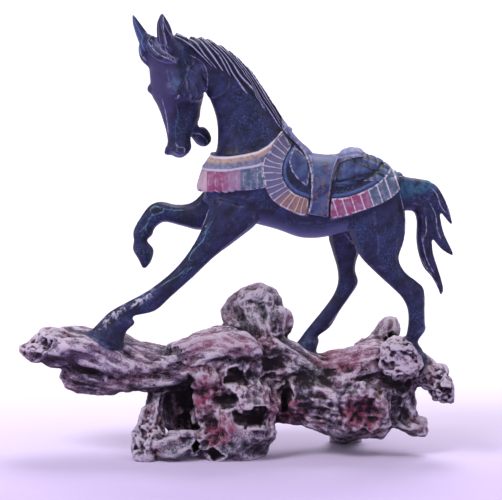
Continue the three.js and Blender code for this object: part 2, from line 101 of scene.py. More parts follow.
FAR_HIND = [
    [(79, 262), (134, 262), 13, 11], [(77, 218), (118, 214), 13, 15],
    [(82, 199), (108, 197), 11, 17], [(86.5, 183), (105, 182), 9, 18],
    [(87, 169), (108, 169), 8, 18], [(82, 155.5), (100, 155), 7.2, 18],
    [(71, 140), (90, 140.5), 7, 18], [(60, 126.5), (79.5, 123), 7.2, 18],
    [(53.5, 118), (67.5, 113.5), 6.6, 18], [(49, 111.5), (69, 110), 9, 18],
    [(42, 103), (66.5, 100.5), 11, 18], [(36, 94), (65, 91), 12, 18],
]
TAIL = [
    [[(138, 284), (142, 246), 9], [(154, 279.5), (154, 245.5), 10],
     [(168, 277.5), (164, 244), 9.5], [(178, 276), (167, 236), 8]],
    [[(172, 277), (166, 256), 6, -3], [(184, 272), (176, 254), 6, -3],
     [(191, 262), (183, 251), 5, -3], [(196.5, 250), (190, 243.5), 4, -3],
     [(201.5, 232), (200, 231), 1.2, -3]],
    [[(180, 270), (168, 252), 7, 2], [(187.5, 250), (173, 240), 7, 2],
     [(189.5, 236), (176.5, 230), 6, 2], [(193, 222), (181.5, 218), 5, 2],
     [(199.5, 208), (191, 206), 3.6, 2], [(203, 200), (202, 199), 1.2, 2]],
    [[(176, 262), (162, 247), 8, 0], [(178, 240), (165.5, 236), 8, 0],
     [(180.5, 217), (165.5, 215), 7.5, 0], [(182, 203), (168, 201), 6.5, 0],
     [(186, 190), (173, 188), 5.5, 0], [(190, 177), (181, 178.5), 4, 0],
     [(192.5, 165.5), (187.5, 166.5), 3, 0], [(191.5, 160), (189.5, 160.5), 1.4, 0]],
]
HEAD_AXIS_X = -66
HEAD_PIVOT = 360
HEAD_TURN = math.radians(45)
HEAD_TILT = math.radians(6)
HEAD_SLICES = [  # the skull in its own axes: height, front, back, half the width
    [422, 32, 6, 8], [414, 37, -6, 14], [402, 37.5, -12, 17], [391, 38, -15, 19],
    [379, 37, -16, 20.5], [371, 36.5, -18, 20.5], [363, 36, -19, 20], [356, 33.4, -20.5, 16],
    [347, 30.1, -17.4, 13.5], [337, 27.3, -15, 12], [328, 24.6, -6, 11], [318, 23.2, 0, 10.5],
    [310, 24.6, 0, 11.5], [304, 20, 5, 8.5], [300.5, 15, 10, 3],
]
LOWER_JAW = [
    [(8, 344), (-12, 338), 8], [(2, 331), (-13, 328), 8], [(-3, 324), (-21, 328), 7.5],
    [(-9, 317.5), (-28, 321), 7.5], [(-14, 311.5), (-29.5, 313.5), 6.5],
    [(-19, 308), (-25, 308.5), 3],
]
WITHERS = [  # the leather's ridge over the withers
    [26, 0, 322, 6, 5], [33, 0, 325.5, 5, 4.6], [38, 0, 320.5, 6, 4.2],
    [46, 0, 311, 8, 4.6], [54, 0, 305, 8, 4], [60, 0, 301, 4, 2],
]
CANTLE = [  # the roll behind the seat, drawn across it
    [94, -24, 285, 2, 2], [97, -17, 293, 8, 4], [100.5, -8, 298.8, 10.5, 5.6],
    [101, 0, 300.4, 11, 6], [100.5, 8, 298.8, 10.5, 5.6], [97, 17, 293, 8, 4],
    [94, 24, 285, 2, 2],
]
ROOT_SPINE = [  # each station: x, y and z of its middle, half its width, half its depth
    [-234, 2, 105, 4, 3], [-222, 0, 104, 17, 10], [-204, -2, 107, 30, 17],
    [-180, -4, 107, 37, 19], [-150, -5, 104, 40, 20], [-122, -5, 93, 40, 19],
    [-85, -3, 87, 38, 19], [-55, 0, 95, 36, 23], [-20, 2, 99, 34, 25], [10, 4, 97, 32, 25],
    [40, 6, 86, 32, 22], [70, 6, 77, 32, 20], [100, 4, 82, 33, 21], [130, 4, 89, 32, 22],
    [155, 6, 86, 28, 21], [176, 4, 79, 16, 13],
]
ROOT_LIMBS = [
    [[-188, -16, 88, 7, 10], [-170, -20, 82, 13, 18], [-148, -20, 80, 17, 21],
     [-128, -18, 82, 17, 19], [-92, -12, 84, 16, 17], [-66, -8, 86, 16, 15]],
    [[-84, -8, 90, 20, 14], [-60, -14, 103, 22, 20], [-36, -20, 113, 22, 18],
     [-12, -26, 114, 18, 14], [4, -30, 111, 12, 10], [11, -32, 110, 5, 5]],
    [[3, 14, 92, 26, 38], [4, 14, 118, 27, 36], [6, 15, 136, 26, 33], [7, 16, 150, 23, 29],
     [11, 17, 160, 18, 21], [13, 17, 166, 11, 12], [14, 17, 169, 4, 5]],
    [[-15, -2, 92, 28, 34], [-18, -14, 70, 32, 37], [-16, -22, 50, 34, 42],
     [-13, -25, 32, 32, 43], [-18, -26, 14, 29, 35], [-22, -26, -6, 25, 28]],
    [[-50, -10, 84, 14, 14], [-46, -28, 80, 16, 16], [-42, -40, 77, 13, 14], [-41, -45, 76, 7, 8]],
    [[-86, -6, 76, 12, 10], [-94, -12, 60, 13, 10], [-99, -22, 44, 15, 14],
     [-103, -32, 28, 16, 16], [-106, -38, 12, 15, 15], [-106, -39, -4, 12, 12]],
    [[-104, -34, 18, 10, 9], [-90, -42, 16, 11, 12], [-76, -46, 16, 13, 14],
     [-60, -42, 18, 12, 12], [-40, -34, 22, 14, 14]],
    [[-72, 6, 82, 20, 24], [-67, 8, 52, 20, 26], [-61, 12, 22, 18, 24], [-57, 14, -6, 16, 20]],
    [[15, -2, 62, 26, 28], [45, -6, 58, 30, 28], [80, -8, 50, 34, 34], [110, -6, 48, 34, 33],
     [135, -2, 56, 28, 25], [150, 0, 62, 18, 16]],
    [[96, 8, 48, 26, 28], [96, 28, 26, 20, 20], [97, 42, 10, 17, 16], [97, 47, -6, 15, 14]],
    [[116, -2, 52, 30, 28], [115, -22, 51, 30, 27], [114, -36, 50, 27, 25],
     [113, -43, 49, 23, 21]],
    [[148, 8, 94, 19, 19], [148, -18, 99, 20, 20], [148, -40, 103, 21, 21],
     [148, -50, 103, 19, 19], [148, -54, 103, 12, 12]],
    [[156, 2, 98, 14, 14], [166, -8, 93, 13, 13], [178, -20, 84, 14, 14], [188, -30, 74, 15, 18],
     [192, -36, 67, 14, 20], [193, -40, 61, 8, 11]],
    [[132, -5, 46, 18, 17], [155, -12, 32, 16, 12], [170, -16, 27, 13, 10], [178, -18, 25, 7, 6]],
    [[160, -8, 78, 10, 10], [157, -12, 58, 10, 9], [155, -14, 34, 11, 11]],
    [[96, 18, 90, 10, 10], [116, 20, 98, 11, 11], [130, 22, 108, 11, 12], [138, 24, 119, 10, 11],
     [144, 25, 128, 8, 7], [147, 25, 133, 3, 3]],
    [[108, 20, 92, 10, 11], [112, 23, 107, 5, 6], [113, 23, 113, 2, 2.5]],
]
FACING_LIMBS = (4, 10, 11, 12)  # the knobs that point at the viewer, drawn across X
ROOT_HOLLOWS = [
    [(-27, -52, 61), (13, 20, 9)], [(4, -52, 44), (19, 22, 10)], [(-14, -38, 84), (11, 14, 10)],
    [(22, -34, 94), (18, 20, 12)], [(28, -14, 140), (10, 15, 17)], [(113, -52, 49), (17, 24, 18)],
    [(193, -47, 68), (7, 10, 8)], [(64, -46, 50), (16, 14, 8)], [(-110, -52, 30), (6, 12, 13)],
]


def through(rows, count):
    """Smooth values through the rows: a centripetal Catmull-Rom curve, count samples."""
    p = np.array(rows, float)
    p = np.vstack([2 * p[0] - p[1], p, 2 * p[-1] - p[-2]])
    gaps = np.maximum(np.linalg.norm(np.diff(p, axis=0), axis=1) ** 0.5, 1e-6)
    out = []
    for t in np.linspace(0, len(rows) - 1, count):
        i = min(int(t), len(rows) - 2)
        a, b, c, d = p[i : i + 4]
        g0, g1, g2 = gaps[i : i + 3]
        m1 = ((b - a) / g0 - (c - a) / (g0 + g1) + (c - b) / g1) * g1
        m2 = ((c - b) / g1 - (d - b) / (g1 + g2) + (d - c) / g2) * g1
        u = t - i
        out.append(
            (2 * u**3 - 3 * u**2 + 1) * b
            + (u**3 - 2 * u**2 + u) * m1
            + (3 * u**2 - 2 * u**3) * c
            + (u**3 - u**2) * m2
        )
    return np.array(out)


def ring(middle, deep, wide, sides, squareness=2.0, shape=None):
    turn = np.linspace(0, 2 * np.pi, sides, endpoint=False)
    power = 2 / squareness
    c = np.sign(np.cos(turn)) * np.abs(np.cos(turn)) ** power
    s = np.sign(np.sin(turn)) * np.abs(np.sin(turn)) ** power
    grow = 1 if shape is None else shape(turn)[:, None]
    return middle + (c[:, None] * deep + s[:, None] * wide) * grow


def flesh(stations, squareness=2.3, sides=32, per=6, swell=0.0):
    rows = [
        [f[0], rest[1] if len(rest) > 1 else 0, f[1], b[0], rest[0], b[1]]
        for f, b, *rest in stations
    ]
    rings = []
    for x0, y, z0, x1, half, z1 in through(rows, (len(rows) - 1) * per + 1):
        deep = np.array([x0 - x1, 0, z0 - z1]) / 2
        length = np.linalg.norm(deep)
        deep = deep * (length + swell) / length
        middle = np.array([(x0 + x1) / 2, y, (z0 + z1) / 2])
        rings.append(ring(middle, deep, np.array([0, half + swell, 0]), sides, squareness))
    return np.array(rings)


def limb(stations, across=(0, 1, 0), squareness=2.0, sides=28, per=6, lumps=0.1, seed=1.0,
         shape=None):
    path = through(stations, (len(stations) - 1) * per + 1)
    middles = path[:, :3]
    along = np.gradient(middles, axis=0)
    along /= np.linalg.norm(along, axis=1, keepdims=True)
    rings = []
    for r, (m, a) in enumerate(zip(middles, along)):
        side = np.array(across, float) - a * np.dot(across, a)
        side /= np.linalg.norm(side)
        deep = np.cross(a, side)
        step = r * 2.0 / per

        def lump(turn, step=step):
            grow = 1 + lumps * np.sin(2 * turn + seed + step * 0.9)
            grow = grow + lumps * 0.7 * np.sin(5 * turn + 2.3 * seed - step * 1.3)
            return grow * (shape(turn, r / (len(path) - 1)) if shape else 1)

        rings.append(ring(m, deep * path[r, 4], side * path[r, 3], sides, squareness, lump))
    return np.array(rings)


def ball(middle, radii, count=14):
    polar = np.linspace(0.02, np.pi - 0.02, count)
    turn = np.linspace(0, 2 * np.pi, 2 * count, endpoint=False)
    x = np.sin(polar)[:, None] * np.cos(turn)
    y = np.sin(polar)[:, None] * np.sin(turn)
    z = np.cos(polar)[:, None] * np.ones_like(turn)
    return np.array(middle) + np.stack([x, y, z], -1) * np.array(radii)


def head_to_drawing(points):
    """From the head's own axes (forward, near side, up) to the drawing's."""
    u, w, z = points[..., 0], points[..., 1], points[..., 2] - HEAD_PIVOT
    w, z = (
        w * math.cos(HEAD_TILT) - z * math.sin(HEAD_TILT),
        w * math.sin(HEAD_TILT) + z * math.cos(HEAD_TILT),
    )
    c, s = math.cos(HEAD_TURN), math.sin(HEAD_TURN)
    return np.stack([HEAD_AXIS_X - c * u + s * w, -s * u - c * w, z + HEAD_PIVOT], -1)


def drawing_to_head(points):
    c, s = math.cos(HEAD_TURN), math.sin(HEAD_TURN)
    x, y, z = points[..., 0] - HEAD_AXIS_X, points[..., 1], points[..., 2] - HEAD_PIVOT
    u, w = -c * x - s * y, s * x - c * y
    w, z = (
        w * math.cos(HEAD_TILT) + z * math.sin(HEAD_TILT),
        -w * math.sin(HEAD_TILT) + z * math.cos(HEAD_TILT),
    )
    return np.stack([u, w, z + HEAD_PIVOT], -1)


def head_rings():
    """Skull, jaw, jowls, brows, nostrils, leaf-shaped ears and the parted forelock."""
    skull = []
    for z, front, back, half in through(HEAD_SLICES, 85):
        middle = np.array([(front + back) / 2, 0, z])
        deep, wide = np.array([(front - back) / 2, 0, 0]), np.array([0, half, 0])
        level = ring(middle, deep, wide, 40, 2.7)
        towards = (level[:, 0] - middle[0]) / deep[0]
        level[:, 1] *= 1 - np.where(towards > 0, 0.12, 0.25) * towards**2
        skull.append(level)
    parts = [np.array(skull), flesh(LOWER_JAW, 2.5)]

    def leaf(turn, share):
        hollow = np.clip(np.cos(turn - np.pi), 0, 1) ** 1.5
        return 1 - 0.5 * hollow * math.sin(math.pi * min(1, share * 1.15 + 0.08))

    for s, leaf_size in ((1, (9.5, 7, 10, 7, 7.5, 5)), (-1, (8, 7, 7.5, 5.5, 4.5, 3.6))):
        parts += [
            ball((-3, s * 9, 375), (17, 11, 19)),
            ball((1, s * 9, 391), (15, 11, 15)),
            ball((27, s * 13.5, 371), (9, 6, 6)),
            ball((20, s * 8, 308), (5, 4.5, 4.5)),
            limb(
                [
                    [30, s * 10.5, 400, 6, 6],
                    [33, s * 13, 412, *leaf_size[:2]],
                    [36, s * 16, 423, *leaf_size[2:4]],
                    [39.5, s * 18.8, 435, *leaf_size[4:]],
                    [42.4, s * 21, 446.5, 0.9, 0.9],
                ],
                lumps=0,
                shape=leaf,
                per=8,
            ),
        ]
    far = [[36, -4, 423, 5, 4], [38, -13, 414, 5, 5], [37, -14, 403, 4.5, 4.5],
           [35, -11, 394, 1.5, 1.5]]
    near = [[36, -4, 424, 4, 4], [40, -2, 413, 4, 4], [39, 8, 404, 4, 4],
            [33, 16, 400, 3.5, 3.5], [21, 19, 398, 1.2, 1.2]]
    parts += [limb(lock, lumps=0, sides=16) for lock in (far, near)]
    return [head_to_drawing(p) for p in parts]


def limbs_of_root():
    parts = [limb(ROOT_SPINE, squareness=2.4, sides=40, seed=4)]
    for k, stations in enumerate(ROOT_LIMBS):
        across = (1, 0, 0) if k in FACING_LIMBS else (0, 1, 0)
        parts.append(limb(stations, across=across, seed=k * 1.7))
    return parts


def mesh_from(points, faces, name):
    mesh = bpy.data.meshes.new(name)
    mesh.from_pydata((points * MM).tolist(), [], faces)
    piece = bpy.data.objects.new(name, mesh)
    bpy.context.scene.collection.objects.link(piece)
    return piece


def block_of(parts, name):
    """All the closed shells in one mesh, each skinned over its rings."""
    points, faces, base = [], [], 0
    for rings in parts:
        count, sides = rings.shape[:2]
        flat = rings.reshape(-1, 3)
        shell = []
        for r in range(count - 1):
            for s in range(sides):
                a, b = r * sides + s, r * sides + (s + 1) % sides
                shell.append((a, b, b + sides, a + sides))
        shell.append(tuple(range(sides))[::-1])
        shell.append(tuple(range((count - 1) * sides, count * sides)))
        middle = flat.mean(0)
        volume = sum(
            np.dot(flat[f[0]] - middle, np.cross(flat[f[1]] - middle, flat[f[2]] - middle))
            for f in shell[:-2]
        )
        if volume < 0:
            shell = [f[::-1] for f in shell]
        points.append(flat)
        faces += [tuple(v + base for v in f) for f in shell]
        base += len(flat)
    return mesh_from(np.vstack(points), faces, name)


def apply(piece, kind, **settings):
    modifier = piece.modifiers.new(kind, kind)
    for key, value in settings.items():
        setattr(modifier, key, value)
    graph = bpy.context.evaluated_depsgraph_get()
    made = bpy.data.meshes.new_from_object(piece.evaluated_get(graph))
    piece.modifiers.clear()
    old, piece.data = piece.data, made
    bpy.data.meshes.remove(old)


horse_parts = [flesh(TRUNK, sides=48), flesh(NECK, sides=40)]
horse_parts += [
    flesh(leg, squareness=2.2, sides=8) for leg in (NEAR_FORE, FAR_FORE, NEAR_HIND, FAR_HIND)
]
horse_parts += [flesh(lock) for lock in TAIL]
horse_parts += head_rings()
horse_parts.append(limb(WITHERS, across=(0, 1, 0), lumps=0, sides=16))
horse_parts.append(limb(CANTLE, across=(1, 0, 0), lumps=0, sides=16))
root_parts = limbs_of_root()
shift = np.array([*DRAWN_MIDDLE, 0.0])
carving = block_of([p - shift for p in horse_parts + root_parts], "horse_on_root_carving")
apply(carving, "REMESH", mode="VOXEL", voxel_size=ROUGH_VOXEL * MM)

# The root
# Weathered root wood: the limbs twist, the grain runs along them in ridges and furrows,
# and the stumps are holed and eaten away. The carver left it as it grew.
PAINT_LOW = 176  # the horse's coat covers all of the wood above this height
SINK = 0.176  # how far a point drops in the side view for each millimetre towards the viewer
GNARL_DEPTH = 3.4
GNARL_SIZE = 26
RIDGE_DEPTH = 3.2
RIDGE_SIZE = 13
FURROW_DEPTH = 0.45
PIT_DEPTH = 1.6
SCALLOP_DEPTH = 8.5
SCALLOP_SIZE = 25
SMALL_HOLLOWS = [
    [(-54, -44, 14), (4, 12, 9)], [(-36, -52, 6), (9, 12, 5)], [(141, 10, 110), (8, 12, 7)],
    [(158, -24, 72), (8, 14, 13)], [(-20, -12, 138), (4, 10, 9)], [(2, -10, 152), (13, 7, 3)],
    [(35, -34, 58), (7, 24, 20)],
]
WASHES = {  # where each wash and the painted shade lie in the side view: middle and reach of its ovals
    # painted shade, where the root's hollows and undersides fall dark
    "painted_shade": [[(-70, 46), (17, 30)], [(24, 96), (22, 13)], [(62, 78), (26, 18)],
             [(52, 52), (24, 9)], [(-214, 94), (20, 8)], [(-176, 78), (34, 9)],
             [(136, 68), (12, 10)]],
    "red": [[(112, 40), (30, 24)], [(34, 42), (26, 16)], [(-32, 20), (20, 20)],
            [(-30, 112), (44, 12)], [(-44, 60), (20, 24)], [(86, 96), (28, 14)]],
    "violet": [[(-165, 94), (80, 24)]],
    "pink": [[(-30, 110), (48, 15)], [(98, 98), (42, 22)]],
    "green": [[(8, 146), (36, 22)], [(60, 78), (26, 18)]],
    "pale": [[(6, 148), (38, 18)], [(-34, 112), (44, 12)], [(148, 98), (15, 15)],
             [(-108, 24), (12, 18)], [(-200, 112), (26, 12)], [(180, 62), (12, 16)],
             [(-46, 88), (22, 14)]],
    "dock": [[(156, 268), (13, 13)], [(176, 270), (12, 10)]],
}
EATEN = [  # where the end grain has weathered into a sponge: middle and reach
    [(148, -42, 103), 25], [(190, -34, 70), 25], [(-208, -8, 112), 26], [(-106, -42, 24), 22],
]


def read(piece):
    """The mesh's points in the drawing's millimetres, and its outward normals."""
    count = len(piece.data.vertices)
    points = np.empty(count * 3, np.float32)
    normals = np.empty(count * 3, np.float32)
    piece.data.vertices.foreach_get("co", points)
    piece.data.vertex_normals.foreach_get("vector", normals)
    return points.reshape(-1, 3).astype(float) / MM, normals.reshape(-1, 3).astype(float)


def write(piece, points):
    piece.data.vertices.foreach_set("co", (points * MM).astype(np.float32).ravel())
    piece.data.update()


def edges_of(piece):
    pairs = np.empty(len(piece.data.edges) * 2, np.int32)
    piece.data.edges.foreach_get("vertices", pairs)
    return pairs.reshape(-1, 2)


def averaged(values, pairs):
    """Each point's mean over its neighbours."""
    n = len(values)
    count = np.bincount(pairs.ravel(), minlength=n)[:, None]
    flat = values.reshape(n, -1)
    total = np.empty_like(flat)
    for k in range(flat.shape[1]):
        total[:, k] = np.bincount(pairs[:, 0], flat[pairs[:, 1], k], n)
        total[:, k] += np.bincount(pairs[:, 1], flat[pairs[:, 0], k], n)
    return (total / np.maximum(count, 1)).reshape(values.shape)


def relaxed(points, pairs, weight, rounds):
    """Smooths without shrinking: each round pulls in, then pushes back."""
    for _ in range(rounds):
        for step in (0.5, -0.52):
            points = points + step * weight[:, None] * (averaged(points, pairs) - points)
    return points


def hashed(cell, seed):
    h = cell[..., 0] * 374761393 + cell[..., 1] * 668265263 + cell[..., 2] * 2147483647
    h = (h + seed * 974634777) & 0xFFFFFFFF
    h = ((h ^ (h >> 13)) * 1274126177) & 0xFFFFFFFF
    return ((h ^ (h >> 16)) & 0xFFFFFF) / float(0xFFFFFF)


def noise(points, size, seed=0):
    """Smooth noise between -1 and 1, with lumps about size across."""
    q = points / size
    cell = np.floor(q).astype(np.int64)
    f = q - cell
    f = f * f * (3 - 2 * f)
    total = 0
    for corner in np.ndindex(2, 2, 2):
        weight = np.prod(np.where(corner, f, 1 - f), -1)
        total = total + weight * hashed(cell + corner, seed)
    return total * 2 - 1


def cracked(points, size, seed=0):
    """Distances to the nearest and second nearest of scattered points, over size."""
    q = points / size
    cell = np.floor(q).astype(np.int64)
    first = np.full(len(q), 9.0)
    second = np.full(len(q), 9.0)
    for dx, dy, dz in np.ndindex(3, 3, 3):
        there = cell + (dx - 1, dy - 1, dz - 1)
        spot = np.stack([hashed(there, seed + k) for k in (11, 23, 37)], -1)
        d = np.linalg.norm(there + spot - q, axis=-1)
        second = np.minimum(second, np.maximum(first, d))
        first = np.minimum(first, d)
    return first, second


def step_up(value, low, high):
    t = np.clip((value - low) / (high - low), 0, 1)
    return t * t * (3 - 2 * t)


def along_limbs(points, parts):
    """For each point the nearest limb: how far along, the way across and the depth."""
    samples, numbers = [], []
    for k, rings in enumerate(parts):
        middles = rings.mean(1)
        reach = np.concatenate([[0], np.cumsum(np.linalg.norm(np.diff(middles, axis=0), axis=1))])
        radius = np.linalg.norm(rings - middles[:, None], axis=2).mean(1)
        tangent = np.gradient(middles, axis=0)
        tangent /= np.linalg.norm(tangent, axis=1, keepdims=True)
        for m, s, r, t in zip(middles, reach, radius, tangent):
            samples.append(m)
            numbers.append([k * 37.0 + s, r, *t])
    samples, numbers = np.array(samples), np.array(numbers)
    best = np.full(len(points), 1e9)
    pick = np.zeros(len(points), int)
    for j in range(len(samples)):
        d = np.linalg.norm(points - samples[j], axis=1) / numbers[j, 1]
        closer = d < best
        best[closer] = d[closer]
        pick[closer] = j
    offset = points - samples[pick]
    tangent = numbers[pick, 2:]
    ahead = (offset * tangent).sum(1)
    across = offset - ahead[:, None] * tangent
    return numbers[pick, 0] + ahead, across, best


def leg_distance(points):
    """How far each point lies outside the nearest leg, taken as a row of balls."""
    best = np.full(len(points), 1e9)
    for leg in (NEAR_FORE, FAR_FORE, NEAR_HIND, FAR_HIND):
        rings = flesh(leg) - shift
        middles = rings.mean(1)
        deep = np.linalg.norm(rings - middles[:, None], axis=2).max(1)
        for m, r in zip(middles, deep):
            d = np.linalg.norm((points - m), axis=1) - r
            best = np.minimum(best, d)
    return best


def belongs_to_horse(points):
    """1 on the horse, falling to 0 where the paint gives way to the bare root."""
    high = points[:, 2] - PAINT_LOW
    tail = (points[:, 0] > 185) & (points[:, 2] > 140)
    legs = -leg_distance(points)
    return np.maximum(np.maximum(step_up(high, 0, 6), step_up(legs, -4.5, -0.5)), tail)


def grain_of(points, index, parts, run):
    """Coordinates that change fast across the grain and slowly along it."""
    grain = np.zeros_like(points)
    reach, across, _ = along_limbs(points[index], parts)
    wander = noise(points[index], 30, 9)[:, None]
    grain[index] = across + run * reach[:, None] + 2.5 * wander
    return grain


def eaten_at(points):
    eaten = np.zeros(len(points))
    for middle, reach in EATEN:
        off = np.linalg.norm(points + shift - middle, axis=1) / reach
        eaten = np.maximum(eaten, 1 - step_up(off, 0.7, 1.0))
    return eaten


def patches(points, table):
    """1 inside the ovals of the table, in the side view, falling to 0 at their reach."""
    drawn = points + shift
    flat = np.stack([drawn[:, 0], drawn[:, 2] + SINK * drawn[:, 1]], -1)
    flat = flat + 6 * np.stack([noise(points, 14, 80), noise(points, 14, 81)], -1)
    off = [np.linalg.norm((flat - middle) / reach, axis=1) for middle, reach in table]
    return 1 - step_up(np.minimum.reduce(off), 0.45, 1.1)


def warp_at(points):
    return np.stack([noise(points, 9, 70 + k) for k in range(3)], -1)


def spread(index, values, count, elsewhere=0.0):
    full = np.full(count, elsewhere)
    full[index] = values
    return full


root_rings = [r - shift for r in root_parts]
points, normals = read(carving)
pairs = edges_of(carving)
horse = belongs_to_horse(points)
drawn = points + shift
torso = step_up(drawn[:, 2], 205, 225) * step_up(-drawn[:, 0], -178, -160)
torso *= 1 - step_up(drawn[:, 2], 385, 395)
legs = horse * (1 - step_up(drawn[:, 2], 190, 225)) * (drawn[:, 2] < 260)
points = relaxed(points, pairs, 0.25 + 0.75 * torso * horse - 0.13 * legs, 12)
bare_index = np.nonzero(horse < 0.98)[0]
bare = 1 - horse
there = points[bare_index]
grain = grain_of(points, bare_index, root_rings, 0.2)[bare_index]
gnarl = noise(there, GNARL_SIZE, 3) + 0.6 * noise(there, GNARL_SIZE * 0.45, 4)
ridge = 1 - 2.2 * np.abs(noise(grain, RIDGE_SIZE, 5)) ** 0.8
ridge += 0.3 * (1 - 2.2 * np.abs(noise(grain, RIDGE_SIZE * 0.45, 15)) ** 0.8)
low = step_up(there[:, 2], 4, 16)
lift = low * (GNARL_DEPTH * (0.6 * gnarl - 0.1) + RIDGE_DEPTH * 0.6 * (ridge - 0.4))
# The lower masses are hollowed into bowls that meet in sharp ridges.
sway = np.stack([noise(there, 17, 40 + k) for k in range(3)], -1)
bowl, _ = cracked(there + 6 * sway, SCALLOP_SIZE, 17)
small_bowl, _ = cracked(there + 3 * sway, SCALLOP_SIZE * 0.42, 18)
hollowed = 1 - step_up(there[:, 2], 88, 104) * (1 - 0.5 * step_up(there[:, 2], 128, 140))
hollowed *= step_up(there[:, 0], -62, -44) + (there[:, 2] < 64) * (there[:, 0] < -44)
lift += low * np.clip(hollowed, 0, 1) * SCALLOP_DEPTH * (bowl - 0.62)
lift += low * np.clip(0.3 + hollowed, 0, 1) * SCALLOP_DEPTH * 0.22 * (small_bowl - 0.6)
lift = spread(bare_index, lift, len(points))
points = points + normals * (bare * lift)[:, None]
warp = np.stack([noise(points, 11, 30 + k) + 0.6 * noise(points, 5, 36 + k) for k in range(3)], -1)
for middle, radii in ROOT_HOLLOWS + SMALL_HOLLOWS:
    q = (points + 5.0 * warp + shift - middle) / radii
    flat = np.hypot(q[:, 0], q[:, 2])
    facing = (np.abs(q[:, 1]) < 1.5) & (bare > 0.5) & (normals[:, 1] < 0.25)
    floor_y = middle[1] + np.sqrt(np.clip(1 - flat**2, 0, 1)) * radii[1] * 0.85 - shift[1]
    inside = facing & (flat < 1)
    points[:, 1] = np.where(inside, np.maximum(points[:, 1], floor_y), points[:, 1])
    rim = facing & (flat >= 1) & (flat < 1.5)
    swelling = np.sin(np.clip((flat - 1) / 0.5, 0, 1) * np.pi) * min(1.6, radii[0] * 0.16)
    points = points + normals * np.where(rim, swelling, 0)[:, None]
write(carving, points)
apply(carving, "REMESH", mode="VOXEL", voxel_size=FINE_VOXEL * MM)

points, normals = read(carving)
pairs = edges_of(carving)
horse = belongs_to_horse(points)
points = relaxed(points, pairs, np.full(len(points), 0.6), 2)
height = (points + shift)[:, 2]
flank = step_up(height, 215, 230) * (1 - step_up(height, 300, 312)) * (points[:, 0] > -60)
points = relaxed(points, pairs, 0.6 * flank * (points[:, 0] < 165), 8)
bare_index = np.nonzero(horse < 0.98)[0]
there = points[bare_index]
grain = grain_of(points, bare_index, root_rings, 0.1)[bare_index]
furrow = 1 - 2 * np.abs(noise(grain, 4.6, 6))
furrow = 0.6 * furrow + 0.5 * (1 - 2 * np.abs(noise(grain, 2.3, 7)))
crumple = 1 - 2.4 * np.abs(noise(there + 2 * warp_at(there), 9.5, 62))
eaten = eaten_at(there)
spots, _ = cracked(there, 6.5, 8)
holes = step_up(noise(there, 26, 12), 0.35, 0.6) * (1 - step_up(spots, 0.1, 0.24))
sponge = 1 - step_up(noise(there, 6.5, 21) + 0.5 * noise(there, 3.0, 22), -0.5, 0.1)
rough = step_up(-there[:, 2], -96, -80) * 0.8 + 0.2
lift = FURROW_DEPTH * (1 - 0.6 * eaten) * (furrow - 0.4) - PIT_DEPTH * holes
lift += 0.55 * rough * (crumple - 0.2)
lift += 0.25 * noise(there, 2.4, 13) - 2.8 * eaten * sponge
lift *= step_up(there[:, 2], 1.5, 6)
points = points + normals * ((1 - horse) * spread(bare_index, lift, len(points)))[:, None]

# The saddle and the breast band
# Both are carved in the solid as raised leather and cloth: a tiled breast band, a saddle
# cloth with a fan of ribs round it and blue piping inside, and a seat with a side flap.
BAND_TOP = [(-70, 303), (-52, 303), (-35, 303), (-21, 304), (-6, 306.5), (7, 309.5), (17, 315),
            (26, 323), (34, 333)]
BAND_BOTTOM = [(-70, 268), (-54, 268), (-48, 265.5), (-38, 267.5), (-24, 267.4), (-11, 270.5),
               (0, 271), (13, 273.4), (34, 280)]
FAN_OUTER = [(32, 327), (24, 319), (19, 310), (12.5, 301), (11, 291.8), (13, 281.8),
             (15, 272), (21, 262), (29, 255.5), (39, 250.5), (49, 246.3), (57, 246.3)]
FAN_INNER = [(40, 312), (34, 303), (30.5, 291.8), (32, 281.8), (37, 273.4), (44, 267.4),
             (52, 264.4), (57, 262.4)]
REAR_OUTER = [(78, 242.3), (94, 245.4), (109, 250.4), (124, 255.8), (139, 263), (148, 270)]
REAR_INNER = [(79, 262.9), (94, 264), (109, 269), (124, 277), (133, 284), (141, 292)]
LEATHER_FRONT = [(31, 328), (36, 321.5), (44, 314), (50, 307.5), (54.5, 300), (57.5, 291),
                 (59.2, 281), (59.5, 270), (59, 256), (56.2, 241.7)]
LEATHER_BACK = [(77, 238), (77.3, 251.8), (79, 264), (80.7, 275.5), (83.4, 284.5), (87.3, 292.4),
                (94, 296), (103, 298.5), (115, 300)]
INNER_PANEL = [(43, 312), (40, 307), (37.5, 299), (40, 290), (46, 282), (56, 274)]
REAR_PANEL_EDGE = [(83, 272), (99, 276), (121, 286), (134, 296)]
INCISED = [[(98, 300), (116, 293), (132, 284)], [(106, 303), (122, 299), (137, 290)],
           [(86, 279), (104, 284), (122, 288)]]
BAND_TILES = 13
BAND_RISE = 3.2
FAN_RIBS = 15
REAR_RIBS = 8
BORDER_RISE = 2.6
FLAP_RISE = 4.6
PIPING = 4.5  # width of the blue piping inside the fan
CURVE_POINTS = 60
OUTSIDE = -9.0  # what a field of the saddle, band or mane says where there is none


def to_line(flat, line):
    """Distance of each side-view point to a line, and how far along it is nearest."""
    line = np.array(line, float)
    cuts = np.diff(line, axis=0)
    lengths = np.linalg.norm(cuts, axis=1)
    before = np.concatenate([[0], np.cumsum(lengths)])
    best = np.full(len(flat), 1e9)
    share = np.zeros(len(flat))
    for a, cut, length, start in zip(line[:-1], cuts, lengths, before):
        t = np.clip((flat - a) @ cut / length**2, 0, 1)
        d = np.linalg.norm(flat - a - t[:, None] * cut, axis=1)
        closer = d < best
        best[closer] = d[closer]
        share[closer] = (start + t[closer] * length) / before[-1]
    return best, share


